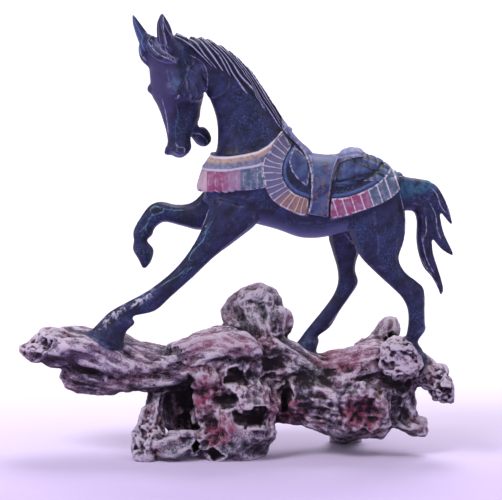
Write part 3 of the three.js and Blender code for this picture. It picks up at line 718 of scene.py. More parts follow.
def within(flat, outline):
    """Distance to the outline's edge, positive inside it."""
    outline = list(outline)
    closed = outline + outline[:1]
    distance, _ = to_line(flat, closed)
    odd = np.zeros(len(flat), bool)
    for (x0, z0), (x1, z1) in zip(closed[:-1], closed[1:]):
        if z0 == z1:
            continue
        crosses = (z0 > flat[:, 1]) != (z1 > flat[:, 1])
        odd ^= crosses & (flat[:, 0] < (x1 - x0) * (flat[:, 1] - z0) / (z1 - z0) + x0)
    return np.where(odd, distance, -distance)


def curve_of(line):
    return through(line, CURVE_POINTS)


fan_outer, fan_inner = curve_of(FAN_OUTER), curve_of(FAN_INNER)
rear_outer, rear_inner = curve_of(REAR_OUTER), curve_of(REAR_INNER)


def on_head(drawn):
    """Whether each point lies on the head, from the slice of the skull at its height."""
    q = drawing_to_head(drawn)
    skull = np.array(HEAD_SLICES)[::-1]
    front, back, half = (np.interp(q[:, 2], skull[:, 0], skull[:, k]) for k in (1, 2, 3))
    across = np.abs(q[:, 0] - (front + back) / 2) / ((front - back) / 2 + 4)
    beside = np.abs(q[:, 1]) / (half + 3.5)
    jaw = (np.abs(q[:, 0] + 12) < 24) & (np.abs(q[:, 1]) < 11) & (q[:, 2] < 345)
    skull_here = across**2.7 + beside**2.7 < 1
    return (q[:, 2] > 295) & (q[:, 2] < 452) & (skull_here | jaw | (q[:, 2] > 424))


def tack(points):
    """The saddle's and band's fields at each point, from its place in the side view."""
    drawn = points + shift
    torso = (drawn[:, 2] > 232) & (drawn[:, 2] < 345) & (drawn[:, 0] > -75) & (drawn[:, 0] < 160)
    torso &= ~((drawn[:, 0] < 5) & (drawn[:, 2] > 330))
    torso &= ~on_head(drawn)
    index = np.nonzero(torso)[0]
    flat = drawn[index][:, [0, 2]]
    side = np.abs(points[index, 1])
    f = {}
    top = np.interp(flat[:, 0], *np.array(BAND_TOP).T)
    bottom = np.interp(flat[:, 0], *np.array(BAND_BOTTOM).T)
    fan = within(flat, list(fan_outer) + list(fan_inner[::-1]))
    inside_fan = within(flat, list(fan_outer) + [(80, 262), (80, 345), (32, 345)])
    rear = within(flat, list(rear_outer) + list(rear_inner[::-1]))
    arc = np.where(flat[:, 0] < -44, -44 + 0.9 * (side - 24), flat[:, 0])
    f["band_t"] = (arc + 70) / 90 * BAND_TILES
    scallop = np.abs(f["band_t"] % 1 - 0.5) ** 2 * 5.0 * step_up(-flat[:, 0], 8, 20)
    f["band"] = np.minimum(
        np.minimum(top - flat[:, 1], flat[:, 1] - bottom - scallop), -inside_fan
    )
    f["band_v"] = (flat[:, 1] - bottom) / (top - bottom)
    outer, t_outer = to_line(flat, fan_outer)
    inner, t_inner = to_line(flat, fan_inner)
    share = outer / (outer + inner + 1e-6)
    f["fan_t"] = (t_outer * (1 - share) + t_inner * share) * FAN_RIBS
    r_inner, _ = to_line(flat, rear_inner)
    above = flat[:, 1] - np.interp(flat[:, 0], *np.array(REAR_OUTER).T)
    f["rear_t"] = (flat[:, 0] + 0.3 * above - 78) / 70 * REAR_RIBS
    f["fan"], f["rear"] = fan, rear
    leather = list(curve_of(LEATHER_FRONT)) + list(curve_of(LEATHER_BACK)) + [(116, 345), (30, 345)]
    seen = np.stack([flat[:, 0], flat[:, 1] - SINK * side], -1)
    f["flap"] = within(seen, leather)
    f["flap_front"] = 9 - to_line(seen, curve_of(LEATHER_FRONT))[0]
    f["flap_back"] = 9 - to_line(seen, curve_of(LEATHER_BACK[:7]))[0]
    f["withers"] = step_up(flat[:, 1], 296, 304)
    side_in = within(flat, list(fan_inner) + [(70, 262), (70, 320)])
    above_rear = within(flat, list(rear_inner) + [(141, 320), (79, 320)])
    f["piping"] = np.maximum(
        np.where(side_in > 0, PIPING / 2 - np.abs(inner - PIPING / 2 - 0.5), OUTSIDE),
        np.where(above_rear > 0, PIPING / 2 - np.abs(r_inner - PIPING / 2 - 0.5), OUTSIDE),
    )
    f["panel"] = within(flat, INNER_PANEL + [(60, 296), (50, 306)])
    f["back_panel"] = within(flat, REAR_PANEL_EDGE + [(132, 302), (112, 306), (88, 299)])
    lines = [to_line(flat, line)[0] for line in INCISED] + [np.abs(f["back_panel"])]
    f["cut"] = np.where(side > 9, 2.6 - np.minimum.reduce(lines), OUTSIDE)
    return {key: spread(index, values, len(points), OUTSIDE) for key, values in f.items()}


def tack_relief(f):
    """How far the coat is raised at each point."""
    def roll(value, middle, width):
        return np.clip(1 - np.abs(value - middle) / width, 0, 1)

    band = BAND_RISE * step_up(f["band"], -0.8, 1.0)
    rims = np.maximum(roll(f["band_v"], 0.93, 0.06), roll(f["band_v"], 0.62, 0.05))
    band += step_up(f["band"], 0, 1) * 0.9 * rims
    gaps = roll(f["band_t"], np.round(f["band_t"]), 0.16)
    band -= 0.9 * gaps * (f["band_v"] < 0.6) * (f["band"] > -1)
    borders = []
    for name in ("fan", "rear"):
        inside, place = f[name], f[name + "_t"]
        border = BORDER_RISE * step_up(inside, -0.8, 1.0)
        border += (inside > 0) * 0.7 * roll(place, np.round(place), 0.14)
        border += roll(inside, 1.0, 1.2) * 0.8
        borders.append(border)
    piping = 1.8 * np.sqrt(np.clip(f["piping"] / (PIPING / 2), 0, 1))
    panel = 1.4 * step_up(f["panel"], -0.8, 1.2)
    cut = -1.5 * step_up(f["cut"], 0.8, 2.4)
    rise = np.maximum.reduce([band, *borders, piping, panel])
    rise = np.where(f["cut"] > 0, rise + cut, rise)
    flap = FLAP_RISE * step_up(f["flap"], -0.9, 1.1)
    flap *= 1 - 0.8 * np.clip(f["withers"], 0, 1)
    flap += 0.7 * roll(f["flap"], 1.3, 1.3)
    return np.maximum(rise, flap)


fields = tack(points)
points = points + normals * (tack_relief(fields) * horse)[:, None]

# The mane, the tail and the head
# The mane is combed back along the neck in flat locks with sharp edges, and the tail
# hangs in three. Eyes, nostrils and jowls are cut with a few strokes of the gouge.
MANE_LINES = [  # the pale ridge of each lock, from the crest to its tip
    [(-74, 420), (-68, 417), (-62, 413), (-57, 409), (-52, 404)],
    [(-68, 420), (-62, 418), (-55, 414), (-50, 407), (-46, 401), (-40, 394)],
    [(-59, 421), (-53, 419), (-48, 414), (-42, 406), (-37, 399), (-31, 390)],
    [(-52, 420), (-47, 417), (-39, 410), (-32, 402), (-28, 395), (-25, 389)],
    [(-47, 418), (-39, 411), (-31, 404), (-24, 394), (-19, 384), (-13, 375)],
    [(-40, 416), (-33, 410), (-25, 402), (-18, 393), (-10, 380), (4, 366), (11, 352)],
    [(-35, 413), (-27, 407), (-19, 399), (-9, 388), (-1, 376), (6, 362), (9, 356)],
    [(-20, 402), (-11, 392), (-3, 381), (5, 367), (10, 357), (17, 347)],
    [(-11, 394), (0, 380), (9, 366), (17, 354), (27, 337), (32, 327)],
    [(5, 376), (13, 363), (22, 347), (31, 332)],
]
MANE_EDGE = [(-80, 408), (-63, 408), (-52, 402), (-40, 392), (-31, 387), (-24, 384), (-13, 373),
             (0, 360), (11, 350), (20, 341), (33, 325)]
MANE_LIFT = 3.6


def nearest_line(flat, lines):
    """Signed distance to the nearest of the lines, how far along it, and which it is."""
    best, share = np.full(len(flat), 1e9), np.zeros(len(flat))
    which, side = np.zeros(len(flat), int), np.ones(len(flat))
    for k, line in enumerate(lines):
        line = through(line, 4 * len(line))
        cuts = np.diff(line, axis=0)
        for j, (a, cut) in enumerate(zip(line[:-1], cuts)):
            t = np.clip((flat - a) @ cut / (cut @ cut), 0, 1)
            off = flat - a - t[:, None] * cut
            d = np.linalg.norm(off, axis=1)
            near = d < best
            best[near] = d[near]
            share[near] = (j + t[near]) / len(cuts)
            which[near] = k
            side[near] = np.sign(cut[0] * off[near, 1] - cut[1] * off[near, 0])
    return best * side, share, which


def mane(points):
    """How far each point lies inside the mane, and its place across the locks."""
    drawn = points + shift
    q = drawing_to_head(drawn)
    behind_ear = (q[:, 0] < 20) & (q[:, 2] > 398)
    near = (drawn[:, 2] > 318) & (drawn[:, 0] > -80) & (drawn[:, 0] < 40)
    index = np.nonzero(near & (~on_head(drawn) | behind_ear) & (q[:, 2] < 428))[0]
    flat = np.stack([drawn[index, 0], drawn[index, 2] - SINK * np.abs(points[index, 1])], -1)
    inside = nearest_line(flat, [MANE_EDGE])[0]
    sides = []
    for line in MANE_LINES:
        line = np.array(line, float)
        longer = [3 * line[0] - 2 * line[1], *line, 4 * line[-1] - 3 * line[-2]]
        sides.append(nearest_line(flat, [longer])[0])
    sides = np.array(sides)
    beyond = np.cumprod(sides > 0, axis=0).sum(0)
    last = len(MANE_LINES) - 1
    under = np.abs(sides[np.clip(beyond - 1, 0, last), np.arange(len(index))])
    over = np.abs(sides[np.clip(beyond, 0, last), np.arange(len(index))])
    phase = beyond - 1 + under / (under + over + 1e-6)
    phase = np.where(beyond == 0, -np.clip(over / 6, 0, 0.9), phase)
    phase = np.where(beyond > last, last + np.clip(under / 6, 0, 0.9), phase)
    across = phase - np.floor(phase)
    inside = inside + 3.0 * np.abs(2 * across - 1) - 1.5
    inside = np.where((beyond == 0) & (over > 2.5), OUTSIDE, inside)
    inside = np.where(flat[:, 0] < -75, OUTSIDE, inside)
    inside = np.clip(inside, OUTSIDE, -OUTSIDE)
    return [spread(index, values, len(points), OUTSIDE) for values in (inside, phase)]


mane_on, lock_phase = mane(points)
across = lock_phase - np.floor(lock_phase)
lift = MANE_LIFT * (0.25 + 0.75 * np.abs(2 * across - 1) ** 1.3) * step_up(mane_on, -0.4, 1.6)
points = points + normals * (lift * horse)[:, None]

tail_zone = (points + shift)[:, 0] > 160
tail_index = np.nonzero(tail_zone & (points[:, 2] > 150))[0]
_, tail_across, _ = along_limbs(points[tail_index], [flesh(t) - shift for t in TAIL])
tail_turn = np.zeros(len(points))
tail_turn[tail_index] = np.arctan2(tail_across[:, 1], tail_across[:, 0] + tail_across[:, 2])
groove = np.abs(np.sin(tail_turn * 4.5)) ** 0.7
points[tail_index] += normals[tail_index] * (0.9 * groove[tail_index] - 0.6)[:, None]

PALE_STROKES = [  # worn edges and highlights, as they are seen from the near side
    [(-103, 417), (-99, 410), (-93, 403), (-87, 399), (-78, 395), (-73, 392)],
    [(-101, 419), (-95, 412), (-90, 407), (-83, 402), (-77, 398), (-73, 394)],
    [(-94, 417), (-91, 411), (-87, 407)],
    [(-110, 410), (-109, 402), (-103, 395)],
    [(-86, 440), (-86, 427), (-84, 416), (-82, 407)],
    [(-63, 402), (-51, 396), (-45, 389), (-43, 376), (-44, 366), (-49, 357), (-57, 354)],
    [(-57, 321), (-52, 323), (-45, 318), (-43, 313)],
    [(92, 224), (98, 217), (104, 207), (108, 198)],
    [(148, 262), (151, 250), (153, 238), (152, 221)],
    [(180, 268), (185, 262), (189, 250), (195, 242)],
    [(178, 254), (184, 241), (186, 226), (190, 216)],
    [(170, 221), (172, 209), (176, 195), (184, 180)],
    [(168, 199), (173, 191), (180, 181), (188, 168)],
    [(174, 239), (175, 226), (174, 220)],
    [(193, 259), (197, 245), (200, 236)],
    [(173, 165), (173, 145), (173, 126)],
    [(107, 171), (93, 149), (77, 127)],
    [(-42, 246), (-46, 235), (-50, 226)],
    [(-75, 314), (-72, 309), (-66, 308), (-66, 303)],
    [(-88, 357), (-85, 346), (-83, 334), (-82, 322)],
    [(-73, 357), (-71, 361)],
]
TEAL_STROKES = [
    [(-83, 387), (-81, 376), (-78, 368), (-74, 363)],
    [(-78, 384), (-75, 375), (-72, 369), (-69, 364)],
    [(-80, 370), (-75, 366), (-70, 368)],
    [(-74, 352), (-72, 340), (-75, 328), (-74, 316)],
    [(-64, 380), (-57, 372), (-53, 363), (-60, 352)],
    [(-66, 398), (-62, 388), (-54, 382)],
    [(-96, 251), (-91, 249), (-85, 247), (-76, 246), (-66, 246)],
    [(-85, 247), (-76, 244), (-66, 242)],
    [(-95, 251), (-101, 247), (-100, 241), (-106, 232), (-112, 223)],
    [(-100, 240), (-94, 242), (-86, 245)],
    [(-102, 235), (-106, 228), (-105, 223)],
    [(-37, 237), (-44, 225), (-47, 216), (-59, 203), (-62, 195), (-64, 188), (-72, 180),
     (-84, 173), (-91, 168)],
    [(-57, 190), (-64, 184), (-66, 178)],
    [(-96, 165), (-109, 156), (-119, 147)],
]
JOWL_MIDDLE = (-3, 375)
JOWL_REACH = (18, 20)
WORN_LEG = [(-98, 163), (-118, 151), (-138, 141), (-152, 127)]  # rubbed down to the white


def strokes(points, normals):
    """The nearest painted line on the near side, among them worn edges and painted highlights:
    signed distance, hold and colour.
    """
    drawn = points + shift
    seen = np.stack([drawn[:, 0], drawn[:, 2] + SINK * drawn[:, 1]], -1)
    index = np.nonzero((normals[:, 1] < 0.3) & (drawn[:, 2] > 118))[0]
    off, share, which = nearest_line(seen[index], PALE_STROKES + TEAL_STROKES)
    hold = (1 - step_up(np.abs(off), 1.8, 2.6)) * step_up(np.minimum(share, 1 - share), -0.02, 0.1)
    hold *= 1 - 0.6 * (which >= len(PALE_STROKES)) * (seen[index, 1] > 300)
    rubbed = 1 - step_up(np.abs(nearest_line(seen[index], [WORN_LEG])[0]), 1.5, 4.5)
    return {
        "stroke": spread(index, np.clip(off, -4, 4), len(points), OUTSIDE),
        "stroke_on": spread(index, hold, len(points)),
        "stroke_teal": spread(index, which >= len(PALE_STROKES), len(points), OUTSIDE),
        "rubbed": spread(index, rubbed, len(points)),
    }


head = drawing_to_head(points + shift)


def blob(middle, radii, mirror=True):
    """1 in the middle of an oval on both cheeks, falling to 0 at its edge."""
    q = head.copy()
    if mirror:
        q[:, 1] = np.abs(q[:, 1])
    return np.clip(1 - np.linalg.norm((q - middle) / radii, axis=1), 0, 1)


def from_jowl(q):
    """Distance from the middle of the cheek's disc, 1 at its edge."""
    return np.linalg.norm((q[:, [0, 2]] - JOWL_MIDDLE) / JOWL_REACH, axis=1)


eye = blob((25, 18, 362), (4.0, 8, 2.4))
lid = blob((25, 18, 362), (6.5, 10, 4.2))
nostril = blob((21, 12, 309), (4.5, 6, 3))
temple = blob((12, 18, 384), (11, 10, 10))
cheek_hollow = blob((14, 13, 345), (11, 9, 20))
mouth = blob((-6, 0, 321), (7, 16, 1.6), mirror=False)
jowl = from_jowl(head)
jowl_edge = np.exp(-(((jowl - 1) / 0.1) ** 2)) * (np.abs(head[:, 1]) > 9)
lift = np.sqrt(eye) - 1.5 * (lid > 0) * (eye == 0) * np.sqrt(lid)
lift -= 2.2 * step_up(nostril, 0, 0.6) + 1.2 * temple + 2.2 * cheek_hollow
lift += 0.8 * jowl_edge * (head[:, 2] < 392) * (head[:, 0] > -30) - 1.6 * step_up(mouth, 0, 0.5)
points = points + normals * lift[:, None]

# The carving as one piece
# The block is made flat under its lowest lobes, kept inside the solid's box and thinned to
# the detail that shows. Each point is then told what the paint has to know of it: how open
# it lies, for the painted shade in hollows, how sharp its edge is, for pale worn edges and painted
# highlights, and where it is on the coat, the tack and the root.
EASE = 5  # millimetres inside the box where the root's outer lobes begin to flatten
EASE_SOFTNESS = 6
EASE_BELOW = 170
TRIANGLES = 190000

points[:, 2] = np.maximum(points[:, 2], 0)
low_corner = np.array(CAD_LOW) / MM
high_corner = np.array(CAD_HIGH) / MM
for axis in (0, 1):
    for limit, sign in ((low_corner[axis], -1), (high_corner[axis], 1)):
        start = sign * limit - EASE
        over = np.maximum(sign * points[:, axis] - start, 0)
        eased = sign * (start + EASE * np.tanh(over / EASE_SOFTNESS))
        outer = (over > 0) & (points[:, 2] < EASE_BELOW)
        points[:, axis] = np.where(outer, eased, points[:, axis])
points = np.clip(points, low_corner, high_corner)
write(carving, points)
triangles = sum(len(face.vertices) - 2 for face in carving.data.polygons)
apply(carving, "DECIMATE", ratio=TRIANGLES / triangles, use_collapse_triangulate=True)
for face in carving.data.polygons:
    face.use_smooth = True

points, normals = read(carving)
points = np.clip(points, low_corner, high_corner)
write(carving, points)
pairs = edges_of(carving)
horse = belongs_to_horse(points)
broad = points
bulge = {}
for rounds in range(1, 25):
    broad = averaged(broad, pairs)
    if rounds in (3, 6, 24):
        bulge[rounds] = ((points - broad) * normals).sum(1)
# How open each point lies: the share of the rays round it that meet nothing near.
OPEN_REACH = 0.05  # metres
OPEN_START = 0.0012
tree = BVHTree.FromObject(carving, bpy.context.evaluated_depsgraph_get())
golden = math.pi * (3 - math.sqrt(5))
rays = []
for k, z in enumerate(np.linspace(-0.96, 0.96, 24).tolist()):
    flat = math.sqrt(1 - z * z)
    rays.append(Vector((math.cos(k * golden) * flat, math.sin(k * golden) * flat, z)))
openness = np.empty(len(points))
for v, vertex in enumerate(carving.data.vertices):
    normal = vertex.normal
    start = vertex.co + normal * OPEN_START
    total, seen = 0.0, 0.0
    for ray in rays:
        facing = ray.dot(normal)
        if facing > 0.1:
            hit = tree.ray_cast(start, ray, OPEN_REACH)[3]
            total += facing
            seen += facing * (1.0 if hit is None else hit / OPEN_REACH)
    openness[v] = seen / total if total else 1.0
openness = averaged(openness, pairs)
everywhere = np.arange(len(points))
fields = tack(points)
fields["mane"], fields["lock"] = mane(points)
fields.update(strokes(points, normals))
fields["up"] = normals[:, 2]
fields.update({name: patches(points, ovals) for name, ovals in WASHES.items()})
fields["horse"] = horse
fields["crest"] = np.clip(bulge[6], -2, 2)
fields["edge"] = np.clip(bulge[3] - bulge[24] / 8, -1, 1)
fields["form"] = np.clip(bulge[24], -3, 3)
fields["open"] = openness
fields["eaten"] = eaten_at(points)
drawn = points + shift
fields["low"] = drawn[:, 2]
head = drawing_to_head(drawn)
ear_up = np.clip((head[:, 2] - 408) / 38, 0, 1)
ear_wide = np.interp(ear_up, [0, 0.15, 0.4, 0.7, 1], [8, 9.5, 8.5, 5, 0.9])
ear_off = (np.abs(head[:, 1]) - 12.5 - 8.5 * ear_up) / ear_wide
on_ear = (head[:, 2] > 409) & (head[:, 0] > 24) & (np.abs(head[:, 1]) > 7)
fields["ear"] = np.where(on_ear, np.sign(head[:, 1]) * 2 + ear_off, OUTSIDE)
jowl = from_jowl(head)
face = on_head(drawn) & (head[:, 2] < 424)
fields["jowl"] = face * np.exp(-(((jowl - 1.0) / 0.07) ** 2)) * (np.abs(head[:, 1]) > 8)
fields["cheek"] = face * (1 - step_up(jowl, 0.7, 1.0)) * (np.abs(head[:, 1]) > 8)
fields["front"] = face * step_up(head[:, 0], 22, 30)
fields["brow"] = face * step_up(blob((28, 17, 374), (9, 9, 11)), 0, 0.6)
for key, values in fields.items():
    layer = carving.data.attributes.new(key, "FLOAT", "POINT")
    layer.data.foreach_set("value", values.astype(np.float32))
grain = grain_of(points, everywhere, root_rings, 0.1)
layer = carving.data.attributes.new("grain", "FLOAT_VECTOR", "POINT")
layer.data.foreach_set("vector", grain.astype(np.float32).ravel())

# The paint
# A near-black blue coat brushed over with slate and violet, pale on edges worn by hands and brush
# and on painted highlights, with painted shade in its hollows. The tack has its own colours, and
# the root a rubbed mauve whitewash.


def shade(red, green, blue):
    """A colour as seen, given in 0 to 255, as the linear colour that the shader takes."""
    linear = [
        v / 12.92 if v <= 0.04045 else ((v + 0.055) / 1.055) ** 2.4
        for v in (red / 255, green / 255, blue / 255)
    ]
    return (*linear, 1)


class Sheet:
    """A material's node tree, written as formulas."""

    def __init__(self, name):
        self.material = bpy.data.materials.new(name)
        self.material.use_nodes = True
        self.tree = self.material.node_tree
        self.tree.nodes.clear()
        turned = self.node("ShaderNodeMapping")
        turned.inputs["Rotation"].default_value = (0.4, 0.7, 0.3)
        self.put(turned.inputs["Vector"], self.node("ShaderNodeTexCoord").outputs["Object"])
        self.place = turned.outputs[0]

    def node(self, kind, **settings):
        made = self.tree.nodes.new(kind)
        for key, value in settings.items():
            setattr(made, key, value)
        return made

    def put(self, socket, value):
        if isinstance(value, bpy.types.NodeSocket):
            self.tree.links.new(value, socket)
        else:
            socket.default_value = value

    def field(self, name):
        return self.node("ShaderNodeAttribute", attribute_name=name).outputs["Fac"]

    def vector_field(self, name):
        return self.node("ShaderNodeAttribute", attribute_name=name).outputs["Vector"]

    def math(self, operation, a, b=0.0):
        made = self.node("ShaderNodeMath", operation=operation)
        self.put(made.inputs[0], a)
        self.put(made.inputs[1], b)
        return made.outputs[0]

    def times(self, product, *values):
        for value in values:
            product = self.math("MULTIPLY", product, value)
        return product

    def rise(self, value, low, high, to_low=0.0, to_high=1.0):
        made = self.node("ShaderNodeMapRange", interpolation_type="SMOOTHSTEP")
        for socket, number in zip(made.inputs, (value, low, high, to_low, to_high)):
            self.put(socket, number)
        return made.outputs[0]

    def on(self, name, low, high, to_low=0.0, to_high=1.0):
        """How far the named field has risen from low to high."""
        return self.rise(self.field(name), low, high, to_low, to_high)

    def noise(self, size, detail=3.0, rough=0.55, place=None, stretch=None):
        """Noise with lumps about size millimetres across, around 0.5."""
        made = self.node("ShaderNodeTexNoise")
        where = place or self.place
        unit = 1.0 if place else 1000.0
        if stretch:
            scaled = self.node("ShaderNodeVectorMath", operation="MULTIPLY")
            self.put(scaled.inputs[0], where)
            scaled.inputs[1].default_value = stretch
            where = scaled.outputs[0]
        self.put(made.inputs["Vector"], where)
        made.inputs["Scale"].default_value = unit / size
        made.inputs["Detail"].default_value = detail
        made.inputs["Roughness"].default_value = rough
        return made.outputs["Fac"]

    def mix(self, amount, a, b):
        made = self.node("ShaderNodeMix", data_type="RGBA")
        self.put(made.inputs["Factor"], amount)
        self.put(made.inputs[6], a)
        self.put(made.inputs[7], b)
        return made.outputs[2]

    def coated(self, under, *coats):
        """The colour under, with each coat of cover and paint brushed over it in turn."""
        for cover, paint in coats:
            under = self.mix(cover, under, paint)
        return under

    def stripe(self, value, width):
        """1 on each whole number of value, falling to 0 at width to its sides."""
        off = self.math("PINGPONG", value, 0.5)
        return self.rise(off, width, width * 0.35, 0.0, 1.0)

    def finish(self, colour, rough, height, depth):
        bump = self.node("ShaderNodeBump")
        bump.inputs["Strength"].default_value = 1.0
        bump.inputs["Distance"].default_value = depth * 0.001
        self.put(bump.inputs["Height"], height)
        paint = self.node("ShaderNodeBsdfPrincipled")
        self.put(paint.inputs["Base Color"], colour)
        self.put(paint.inputs["Roughness"], rough)
        paint.inputs["Specular IOR Level"].default_value = 0.28
        self.put(paint.inputs["Normal"], bump.outputs[0])
        out = self.node("ShaderNodeOutputMaterial")
        self.put(out.inputs["Surface"], paint.outputs[0])
        return self.material


COAT_DARK = shade(17, 17, 42)
COAT_SLATE = shade(42, 46, 94)
COAT_TEAL = shade(56, 82, 136)
COAT_VIOLET = shade(68, 61, 108)
# paler coat, for rubbed edges, painted highlights and the painted floor reflection
COAT_RUBBED_AND_LIT = shade(108, 112, 164)
LINE_TEAL = shade(104, 150, 176)
COAT_SHADOW = shade(12, 11, 26)
BROW_BLUE = shade(96, 128, 176)
COAT_CHEEK = shade(78, 82, 128)
DOCK_TEAL = shade(48, 92, 128)
EDGE_PALE = shade(170, 166, 204)
WASH_PALE = shade(200, 186, 206)
WASH_MAUVE = shade(104, 88, 116)
WASH_PINK = shade(128, 92, 114)
WASH_VIOLET = shade(104, 82, 124)
WASH_ROSE = shade(146, 104, 128)
WASH_GREEN = shade(104, 108, 114)
WASH_CREAM = shade(156, 138, 138)
WASH_RED = shade(140, 50, 84)
# dark wood, also used as painted shade
DARK_WOOD_AND_SHADE = shade(34, 24, 34)
WASH_TEAL = shade(60, 92, 104)
RIM_WHITE = shade(208, 198, 218)
BAND_TEAL = shade(88, 100, 128)
BAND_OCHRE = shade(180, 154, 136)
TILE_PEACH = shade(184, 156, 172)
TILE_RED = shade(142, 70, 108)
TILE_GREY = shade(152, 138, 168)
TILE_TEAL = shade(72, 92, 120)
FAN_SLATE = shade(92, 94, 130)
FAN_OCHRE = shade(142, 110, 98)
PIPE_BLUE = shade(76, 100, 160)
SEAT_BLUE = shade(66, 82, 128)
SEAT_HIGHLIGHT = shade(128, 132, 180)
FLAP_BROWN = shade(108, 86, 90)

sheet = Sheet("carved_paint")
speckle = sheet.noise(1.4, 2.0)
cloud = sheet.noise(26.0, 3.0)
streak = sheet.noise(9.0, 4.0, stretch=(0.6, 1.0, 1.0))
scuff = sheet.noise(4.0, 4.0)
wear = sheet.rise(scuff, 0.4, 0.62)

# Coat: slate brushed thinly over black, teal specks in patches, pale edges that are partly worn and
# partly a painted highlight, a painted floor reflection under the belly and painted shade in the
# hollows.
flecks = sheet.times(sheet.rise(speckle, 0.5, 0.66), sheet.rise(cloud, 0.46, 0.62), 0.75)
# Pale on sharp edges: rubbed wear, partly a painted highlight.
worn_edge_and_highlight = sheet.times(sheet.on("edge", 0.1, 0.4), sheet.rise(scuff, 0.35, 0.6))
ear = sheet.field("ear")
far_ear = sheet.times(sheet.rise(ear, -2.9, -2.6), sheet.rise(ear, -1.2, -1.4), 0.5)
ear_line = sheet.stripe(sheet.times(ear, 1.25), 0.09)
ear_line = sheet.times(ear_line, sheet.rise(ear, -4.0, -3.5), 0.35)
brow = sheet.times(sheet.field("brow"), sheet.rise(streak, 0.42, 0.62), 0.45)
cheek = sheet.times(sheet.field("cheek"), sheet.rise(streak, 0.3, 0.6, 0.4, 1.0), 0.8)
# Painted reflected light from the floor: the belly's down-facing faces are made paler.
painted_floor_bounce = sheet.times(sheet.on("up", -0.35, -0.9), sheet.on("low", 205.0, 215.0), 0.7)
dock = sheet.times(sheet.field("dock"), sheet.rise(scuff, 0.3, 0.6, 0.3, 0.9))
jowl_line = sheet.times(sheet.field("jowl"), sheet.rise(scuff, 0.4, 0.6), 0.3)
# Pale and teal lines, some of them painted highlights on the eye, nostril and edges.
stroke_marks_and_highlights = sheet.rise(sheet.math("ABSOLUTE", sheet.field("stroke")), 0.85, 0.15)
stroke_marks_and_highlights = sheet.times(stroke_marks_and_highlights, sheet.field("stroke_on"), sheet.rise(scuff, 0.36, 0.6, 0.15, 0.7))
stroke_and_highlight_colour = sheet.mix(sheet.on("stroke_teal", 0.3, 0.7), EDGE_PALE, LINE_TEAL)
coat = sheet.coated(
    COAT_DARK,
    (sheet.rise(streak, 0.3, 0.75, 0.0, 0.8), COAT_SLATE),
    (flecks, COAT_TEAL),
    (sheet.rise(scuff, 0.5, 0.75, 0.0, 0.35), COAT_VIOLET),
    (sheet.times(worn_edge_and_highlight, 0.35), COAT_RUBBED_AND_LIT),
    (far_ear, COAT_TEAL),
    (ear_line, EDGE_PALE),
    (brow, BROW_BLUE),
    (cheek, COAT_CHEEK),
    (sheet.times(sheet.field("front"), 0.6), COAT_VIOLET),
    (painted_floor_bounce, COAT_RUBBED_AND_LIT),
    (dock, DOCK_TEAL),
    (jowl_line, EDGE_PALE),
    (stroke_marks_and_highlights, stroke_and_highlight_colour),
    (sheet.times(sheet.field("rubbed"), sheet.rise(scuff, 0.5, 0.66, 0.0, 0.7)), RIM_WHITE),
    # Painted shade in the hollows, where the carving is least open.
    (sheet.on("open", 0.7, 0.3, 0.0, 0.75), COAT_SHADOW),
)

# Mane: dark locks with painted shade in the valleys between them, and on each ridge a pale line
# that is partly rubbed and partly a painted highlight.
lock = sheet.field("lock")
lock_ridge_worn_and_lit = sheet.times(sheet.stripe(lock, 0.17), sheet.rise(scuff, 0.3, 0.5, 0.45, 0.95))
mane_paint = sheet.coated(
    COAT_SHADOW,
    (sheet.rise(sheet.math("PINGPONG", lock, 0.5), 0.42, 0.1), COAT_SLATE),
    (lock_ridge_worn_and_lit, EDGE_PALE),
)
coat = sheet.mix(sheet.on("mane", -0.2, 0.5), coat, mane_paint)

# Breast band: ochre and teal above a white line, and a fringe of coloured tiles below.
band_v = sheet.field("band_v")
band_t = sheet.field("band_t")
upper = sheet.coated(
    BAND_TEAL,
    (sheet.rise(scuff, 0.35, 0.65, 0.0, 0.6), TILE_GREY),
    (sheet.times(sheet.rise(band_v, 0.76, 0.88), sheet.rise(scuff, 0.3, 0.5)), BAND_OCHRE),
)
fringe = sheet.coated(
    TILE_PEACH,
    (sheet.rise(band_t, 3.6, 3.9), TILE_RED),
    (sheet.rise(band_t, 5.8, 7.6, 0.0, 0.6), TILE_GREY),
    (sheet.rise(band_t, 8.4, 8.9), TILE_TEAL),
    (sheet.rise(scuff, 0.45, 0.65, 0.0, 0.5), TILE_GREY),
    (sheet.times(sheet.stripe(band_t, 0.1), wear, 0.3), RIM_WHITE),
)
white_line = sheet.times(sheet.rise(band_v, 0.58, 0.61), sheet.rise(band_v, 0.67, 0.64))
rim = sheet.math("MAXIMUM", sheet.rise(band_v, 0.91, 0.96), white_line)
rim = sheet.math("MAXIMUM", rim, sheet.times(sheet.on("band", 1.8, 0.6), wear))
band = sheet.coated(
    fringe, (sheet.rise(band_v, 0.56, 0.6), upper), (sheet.times(rim, 0.75), RIM_WHITE)
)

